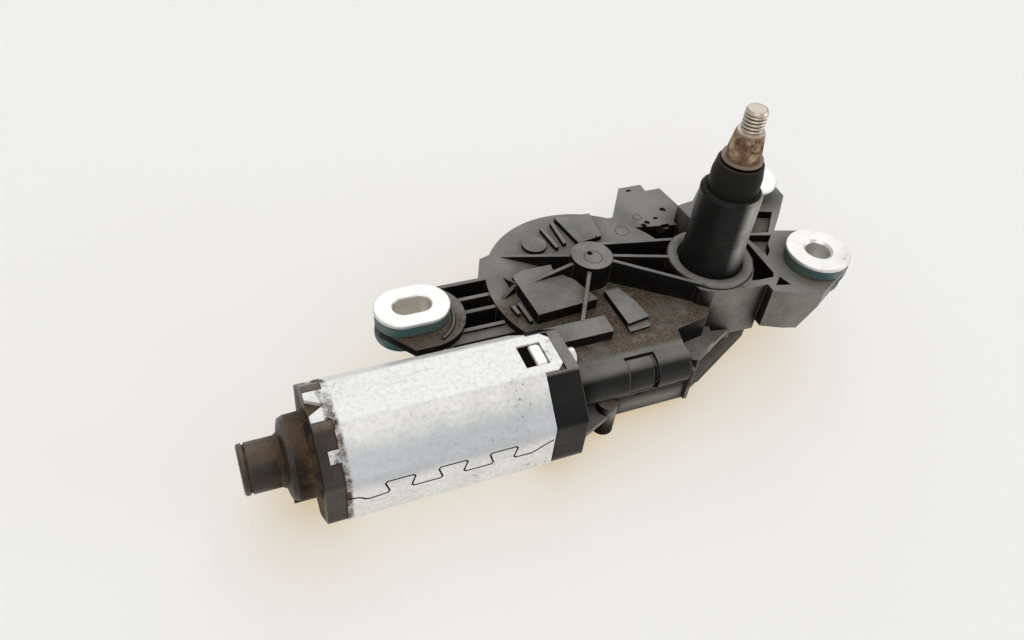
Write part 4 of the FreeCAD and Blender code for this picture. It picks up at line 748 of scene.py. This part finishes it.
# the thread: a round bar whose radius follows a screw line, with a domed end
def makeThreadTree():
    tree, given, out = geometryTree("cutThread", [
        ("Radius", number, 0.004), ("Low", number, 0.04), ("High", number, 0.047),
        ("Depth", number, 0.0005), ("Pitch", number, 0.0015), ("Dome", number, 0.0015)])
    length = calc(tree, "SUBTRACT", given["High"], given["Low"])
    bar = wired(tree, "GeometryNodeMeshCylinder", {
        "Vertices": threadCut["around"], "Side Segments": threadCut["along"],
        "Fill Segments": threadCut["across"], "Radius": given["Radius"], "Depth": length})
    x, y, z = splitUp(tree, addNode(tree, "GeometryNodeInputPosition").outputs[0])
    height = calc(tree, "ADD", z, times(tree, length, 0.5))
    # the groove, deepest where a turn of the screw line passes
    angle = calc(tree, "DIVIDE", calc(tree, "ARCTAN2", y, x), math.tau)
    phase = calc(tree, "FRACT", calc(tree, "SUBTRACT", calc(tree, "DIVIDE", height, given["Pitch"]), angle))
    wave = calc(tree, "ABSOLUTE", calc(tree, "SINE", times(tree, phase, math.pi)))
    groove = calc(tree, "SUBTRACT", 1.0, calc(tree, "POWER", wave, threadCut["crest"]))
    # the groove runs out at the dome, and only the skin of the bar is cut
    below = calc(tree, "DIVIDE", calc(tree, "SUBTRACT", length, height), given["Dome"], True)
    plain = calc(tree, "SUBTRACT", 1.0, spanOf(tree, below, *threadCut["runOut"]), True)
    cut = times(tree, groove, calc(tree, "SUBTRACT", 1.0, plain))
    around = calc(tree, "SQRT", calc(tree, "ADD", times(tree, x, x), times(tree, y, y)))
    skin = spanOf(tree, calc(tree, "DIVIDE", around, given["Radius"]), *threadCut["skin"])
    shrink = times(tree, calc(tree, "DIVIDE", times(tree, cut, given["Depth"]), given["Radius"]), skin)
    dome = calc(tree, "POWER", calc(tree, "SUBTRACT", 1.0, below, True), threadCut["domePower"])
    uncut = calc(tree, "SUBTRACT", 1.0, shrink)
    keep = calc(tree, "SUBTRACT", uncut, times(tree, dome, threadCut["domeShare"]))
    level = calc(tree, "ADD", height, given["Low"])
    move = wired(tree, "GeometryNodeSetPosition", {
        "Geometry": bar.outputs["Mesh"],
        "Position": joinedPlace(tree, times(tree, x, keep), times(tree, y, keep), level)})
    finishTree(tree, out, move.outputs[0], slotMaterials["shaft_steel"])
    return tree


# ridges set round a cone
def makeKnurlTree():
    tree, given, out = geometryTree("knurlRidges", [
        ("Count", wholeNumber, 30), ("Low", number, 0.03), ("Length", number, 0.008),
        ("Radius", number, 0.006), ("Size", number, 0.0003), ("Lean", number, 0.1)])
    circle = wired(tree, "GeometryNodeMeshCircle", {"Vertices": given["Count"], "Radius": given["Radius"]})
    lift = wired(tree, "GeometryNodeTransform", {
        "Geometry": circle.outputs[0], "Translation": joinedPlace(tree, z=given["Low"])})
    ridge = wired(tree, "GeometryNodeMeshCone", {
        "Vertices": shaft["knurlSides"], "Side Segments": 1, "Depth": given["Length"],
        "Radius Bottom": given["Size"], "Radius Top": times(tree, given["Size"], shaft["knurlTopShare"])})
    index = addNode(tree, "GeometryNodeInputIndex").outputs[0]
    turn = times(tree, calc(tree, "DIVIDE", index, given["Count"]), math.tau)
    spread = wired(tree, "GeometryNodeInstanceOnPoints", {
        "Points": lift.outputs[0], "Instance": ridge.outputs["Mesh"],
        "Rotation": joinedPlace(tree, y=times(tree, given["Lean"], -1.0), z=turn)})
    finishTree(tree, out, spread.outputs[0], slotMaterials["shaft_steel"])
    return tree


def makeShaft():
    steel = slotMaterials["shaft_steel"]
    core = addPiece("shaftTurned", turned("shaftTurned", shaft["profile"]), steel, "wiper_shaft")
    thread = baked("shaftThread", makeThreadTree(), {
        "Low": shaft["threadLow"] * mm, "High": shaft["threadHigh"] * mm,
        "Radius": shaft["threadRadius"] * mm, "Depth": shaft["threadDepth"] * mm,
        "Pitch": shaft["pitch"] * mm, "Dome": shaft["dome"] * mm})
    tip = addPiece("shaftThread", thread, steel, "wiper_shaft", 50)
    rise = shaft["knurlHigh"] - shaft["knurlLow"]
    drop = shaft["knurlLowRadius"] - shaft["knurlHighRadius"]
    knurl = baked("shaftKnurl", makeKnurlTree(), {
        "Count": shaft["knurls"], "Low": shaft["knurlLow"] * mm, "Length": math.hypot(rise, drop) * mm,
        "Radius": shaft["knurlLowRadius"] * mm, "Size": shaft["knurlSize"] * mm,
        "Lean": math.atan2(drop, rise)})
    ridges = addPiece("shaftKnurl", knurl, steel, "wiper_shaft", 60)
    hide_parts("wiper_shaft")
    print("shaft turned, threaded and knurled")


# a bead that follows a line
def makeBeadTree():
    tree, given, out = geometryTree("beadAlongLine", [("Bead", number, 0.0003)])
    curve = wired(tree, "GeometryNodeMeshToCurve", {"Mesh": given["Geometry"]})
    profile = wired(tree, "GeometryNodeCurvePrimitiveCircle", {
        "Resolution": beadSides, "Radius": given["Bead"]})
    sweep = wired(tree, "GeometryNodeCurveToMesh", {
        "Curve": curve.outputs[0], "Profile Curve": profile.outputs[0], "Fill Caps": True})
    finishTree(tree, out, sweep.outputs[0], shadeAndJointBlack)
    return tree


beadTree = makeBeadTree()


def beadMesh(name, points, bead):
    line = bpy.data.meshes.new(name)
    line.from_pydata([Vector(p) * mm for p in points], [(k, k + 1) for k in range(len(points) - 1)], [])
    return baked(name, beadTree, {"Bead": bead * mm}, line)


# seam of the can: a row of dovetails, left to right; the bead is sunk in the can and shows as a dark line
seam = {
    "y": -51.8, "bead": 1.3, "sunk": 1.255, "round": 0.9, "longestCut": 0.4,
    "start": [(-156.6, -36.6), (-152.8, -37.3), (-151.0, -39.2)],
    "tongues": 3, "first": -145.2, "pitch": 17.4, "width": 10.2, "top": -32.8, "low": -38.5,
    "flareLeft": 1.9, "flareRight": 1.52,
    "end": [(-94.6, -38.5), (-90.9, -36.2), (-87.4, -34.6)],
}


def seamLine():
    points = list(seam["start"])
    for k in range(seam["tongues"]):
        left = seam["first"] + k * seam["pitch"]
        right = left + seam["width"]
        points += [(left + seam["flareLeft"], seam["low"]), (left, seam["top"])]
        points += [(right, seam["top"]), (right - seam["flareRight"], seam["low"])]
    return points + list(seam["end"])


# cuts each corner of a flat line, so that it turns as a pressed edge does
def softened(points, reach):
    soft = [points[0]]
    for before, corner, after in zip(points, points[1:], points[2:]):
        here = Vector(corner)
        for other in (before, after):
            way = Vector(other) - here
            soft.append(tuple(here + way.normalized() * min(reach, way.length * seam["longestCut"])))
    return soft + [points[-1]]


def makeSeam():
    points = [(x, seam["y"] + seam["sunk"], z) for x, z in softened(seamLine(), seam["round"])]
    mesh = beadMesh("canSeam", points, seam["bead"])
    addPiece("canSeam", mesh, shadeAndJointBlack, "root", neverSharp)
    print("seam laid with", seam["tongues"], "dovetails")


# dark scores on the mouldings, as lines of points with the bead's radius
scores = {
    "slabScore": {"bead": 0.28, "points": [
        (-45.5, -35.42, -44.9), (-43.2, -35.42, -43.4), (-40.2, -35.42, -42.7), (-37.1, -35.42, -42.2)]},
    "slabScoreShort": {"bead": 0.22, "points": [
        (-41.5, -35.42, -43.6), (-39.6, -35.42, -43.9), (-37.4, -35.42, -43.5)]},
    "hubScore": {"bead": 0.2, "points": [(-38.2, 22.8, -17.88), (-36.6, 27.6, -27.9)]},
}


def makeScores():
    for name, score in scores.items():
        mesh = beadMesh(name, score["points"], score["bead"])
        addPiece(name, mesh, shadeAndJointBlack, "root", neverSharp)
    print("scored", len(scores), "lines")


# raised rim on the right of the slotted ear's plate; angles in degrees
earRim = {
    "centre": (-117.0, 10.0), "z": -28.1, "radius": 15.1,
    "from": -62, "to": 66, "steps": 28, "bead": 0.75,
}


def makeEarRim():
    points = []
    for k in range(earRim["steps"] + 1):
        a = math.radians(earRim["from"] + (earRim["to"] - earRim["from"]) * k / earRim["steps"])
        x = earRim["centre"][0] + earRim["radius"] * math.cos(a)
        y = earRim["centre"][1] + earRim["radius"] * math.sin(a)
        points.append((x, y, earRim["z"]))
    mesh = beadMesh("earRim", points, earRim["bead"])
    addPiece("earRim", mesh, slotMaterials["case"], "root", neverSharp)
    print("ear rim laid")


# a flat-topped pad with a chamfered edge, from an outline and its lowest and highest level
def padMesh(name, outline, low, high, chamfer=0.3):
    shape = bmesh.new()
    rings = []
    middle = Vector((sum(p[0] for p in outline), sum(p[1] for p in outline))) / len(outline)
    for z, inset in ((low, 0), (high - chamfer, 0), (high, chamfer)):
        ring = []
        for point in outline:
            way = middle - Vector(point)
            moved = Vector(point) + way.normalized() * inset
            ring.append(shape.verts.new((moved.x * mm, moved.y * mm, z * mm)))
        rings.append(ring)
    joinRings(shape, rings)
    shape.faces.new(rings[0][::-1])
    shape.faces.new(rings[-1])
    return fromBmesh(name, shape)


def roundedBox(x, y, radius, steps=5):
    (left, right), (near, far) = (x[0] + radius, x[1] - radius), (y[0] + radius, y[1] - radius)
    points = []
    for cx, cy, start in ((right, far, 0), (left, far, 90), (left, near, 180), (right, near, 270)):
        for k in range(steps + 1):
            a = math.radians(start + 90 * k / steps)
            points.append((cx + radius * math.cos(a), cy + radius * math.sin(a)))
    return points


# bright latch in the can's window over a near-black block of painted shadow that also carries it, and the
# domed earth tab that stands beside the flange
latch = {"x": (-88.0, -83.8), "y": (-34.4, -24.7), "low": -17.2, "high": -16.3, "round": 1.2, "chamfer": 0.7}
shadowBlock = {"x": (-92.6, -83.6), "y": (-34.9, -24.1), "low": -21.5, "high": -17.1, "round": 0.5}
earthTab = {"x": (-74.8, -72.0), "y": (-32.3, -26.3), "low": -31.6, "high": -18.6, "dome": 1.1, "steps": 12}


def earthTabMesh():
    near, far = earthTab["y"]
    half = (far - near) / 2
    rise = half * earthTab["dome"]
    rim = [(near, earthTab["low"]), (far, earthTab["low"])]
    for k in range(earthTab["steps"] + 1):
        a = math.pi * k / earthTab["steps"]
        rim.append(((near + far) / 2 + half * math.cos(a), earthTab["high"] - rise + rise * math.sin(a)))
    shape = bmesh.new()
    sides = [[shape.verts.new((x * mm, y * mm, z * mm)) for y, z in rim] for x in earthTab["x"]]
    shape.faces.new(sides[0])
    shape.faces.new(sides[1][::-1])
    joinRings(shape, sides)
    return fromBmesh("earthTab", shape)


def makeLatch():
    outline = roundedBox(latch["x"], latch["y"], latch["round"])
    mesh = padMesh("windowLatch", outline, latch["low"], latch["high"], latch["chamfer"])
    addPiece("windowLatch", mesh, brightLug)
    # painted shadow: a near-black block fills the window under the latch
    outline = roundedBox(shadowBlock["x"], shadowBlock["y"], shadowBlock["round"])
    mesh = padMesh("windowShade", outline, shadowBlock["low"], shadowBlock["high"])
    addPiece("windowShade", mesh, shadeAndJointBlack)
    addPiece("earthTab", earthTabMesh(), brightLug)
    print("latch and earth tab set")


def ovalOutline(centre, radii, angles):
    return [(centre[0] + radii[0] * math.cos(a), centre[1] + radii[1] * math.sin(a)) for a in angles]


# small pits in the lobe and the hub, where the moulding has pockets: dark pads a hair above the face, painted
# shade in place of the pockets' depth
pits = {
    "lobePitLong": {"z": -28.0, "outline": [(-5.6, 30.3), (-1.6, 31.0), (-1.9, 28.0), (-5.0, 27.6)]},
    "lobePitSmall": {"z": -28.0, "outline": [(-10.0, 35.4), (-8.1, 35.9), (-7.3, 33.9), (-9.4, 33.3)]},
    "lobePitRound": {"z": -28.0, "outline": ovalOutline(
        (-1.5, 37.6), (1.3, 0.8), (0.3, 1.3, 2.4, 3.4, 4.4, 5.4))},
    "hubPit": {"z": -17.0, "outline": ovalOutline(
        (-45.9, 13.3), (1.05, 1.05), [math.tau * k / 14 for k in range(14)])},
}
pitPad = {"sunk": 0.6, "proud": 0.05, "chamfer": 0.03}


def makePits():
    for name, pit in pits.items():
        low, high = pit["z"] - pitPad["sunk"], pit["z"] + pitPad["proud"]
        addPiece(name, padMesh(name, pit["outline"], low, high, pitPad["chamfer"]), shadeAndJointBlack)
    print("set", len(pits), "pits")


# round marks that the mould's pins leave; a thin ring that stands a hair above the face
pinMarks = {
    "hubPinMark": {"place": (-45.5, 11.0), "z": -17.0, "radius": 3.5},
    "lobePinMark": {"place": (-19.4, 33.7), "z": -28.0, "radius": 2.9},
    "towerPinMark": {"place": (-8.8, 40.3), "z": -28.0, "radius": 1.8},
}
pinRing = [
    (-0.14, -0.2), (0.14, -0.2), (0.14, 0.03), (0.05, 0.07), (-0.05, 0.07), (-0.14, 0.03), (-0.14, -0.2)]


def makePinMarks():
    for name, mark in pinMarks.items():
        rim = [(mark["radius"] + out, mark["z"] + up) for out, up in pinRing]
        addPiece(name, turned(name, rim, mark["place"], steps=40), fadedMark)
    print("set", len(pinMarks), "pin marks")


# rounded lip where the ring meets the spindle tube
lip = {"radius": 14.7, "half": 2.5, "z": -19.9, "rise": 1.5, "sunk": 0.8, "steps": 12}


def makeLip():
    rim = []
    for k in range(lip["steps"] + 1):
        a = math.pi * k / lip["steps"]
        rim.append((lip["radius"] + lip["half"] * math.cos(a), lip["z"] + lip["rise"] * math.sin(a)))
    floor = lip["z"] - lip["sunk"]
    rim += [(lip["radius"] - lip["half"], floor), (lip["radius"] + lip["half"], floor), rim[0]]
    addPiece("towerLip", turned("towerLip", rim), slotMaterials["case"])
    print("lip turned")


# cover screws, seen from below: flat heads with a six-lobed socket; places as in the source
screws = {
    "places": [(-79.29, 23.97), (-73.03, -12.51), (-61.93, 43.25),
               (-17.09, 38.73), (20.44, -1.54), (-28.0, -26.4)],
    "low": -60.8, "high": -50.8, "headRadius": 3.0, "headEdge": 0.2, "headHeight": 1.7,
    "shankRadius": 1.5, "tipRadius": 0.3, "tipHeight": 0.8,
    "socketRadius": 1.35, "socketDepth": 1.1, "socketLobes": 6, "lobeShare": 0.14, "steps": 24,
}


def screwMesh():
    low, high, edge = screws["low"], screws["high"], screws["headEdge"]
    socket, head, shank = screws["socketRadius"], screws["headRadius"], screws["shankRadius"]
    profile = [
        (socket, low + screws["socketDepth"]), (socket, low), (head - edge, low), (head, low + edge),
        (shank, low + screws["headHeight"]), (shank, high), (screws["tipRadius"], high + screws["tipHeight"]),
    ]
    shape = bmesh.new()
    rings = []
    for radius, z in profile:
        ring = []
        for k in range(screws["steps"]):
            a = math.tau * k / screws["steps"]
            r = radius
            if radius == socket:
                r = radius * (1 + screws["lobeShare"] * math.cos(screws["socketLobes"] * a))
            ring.append(shape.verts.new((r * math.cos(a) * mm, r * math.sin(a) * mm, z * mm)))
        rings.append(ring)
    joinRings(shape, rings)
    shape.faces.new(rings[0])
    shape.faces.new(rings[-1])
    return fromBmesh("coverScrew", shape)


# one screw at each point
def makeScrewTree(template):
    tree, given, out = geometryTree("screwsOnPoints", [("Size", number, 1.0)])
    source = wired(tree, "GeometryNodeObjectInfo", {"Object": template})
    spread = wired(tree, "GeometryNodeInstanceOnPoints", {
        "Points": given["Geometry"], "Instance": source.outputs["Geometry"], "Scale": given["Size"]})
    finishTree(tree, out, spread.outputs[0], slotMaterials["dark_steel"])
    return tree


def makeScrews():
    template = bpy.data.objects.new("screwTemplate", screwMesh())
    bpy.context.collection.objects.link(template)
    points = bpy.data.meshes.new("screwPoints")
    points.from_pydata([(x * mm, y * mm, 0) for x, y in screws["places"]], [], [])
    mesh = baked("coverScrewSet", makeScrewTree(template), {"Size": 1.0}, points)
    bpy.data.objects.remove(template)
    piece = addPiece("coverScrewSet", mesh, slotMaterials["dark_steel"])
    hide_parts("cover_screws")
    print("set", len(screws["places"]), "cover screws")


makeCamera()
makeStudio()
dressNodes()
makeShaft()
makeSeam()
makeScores()
makeEarRim()
makeLatch()
makePits()
makePinMarks()
makeLip()
makeScrews()
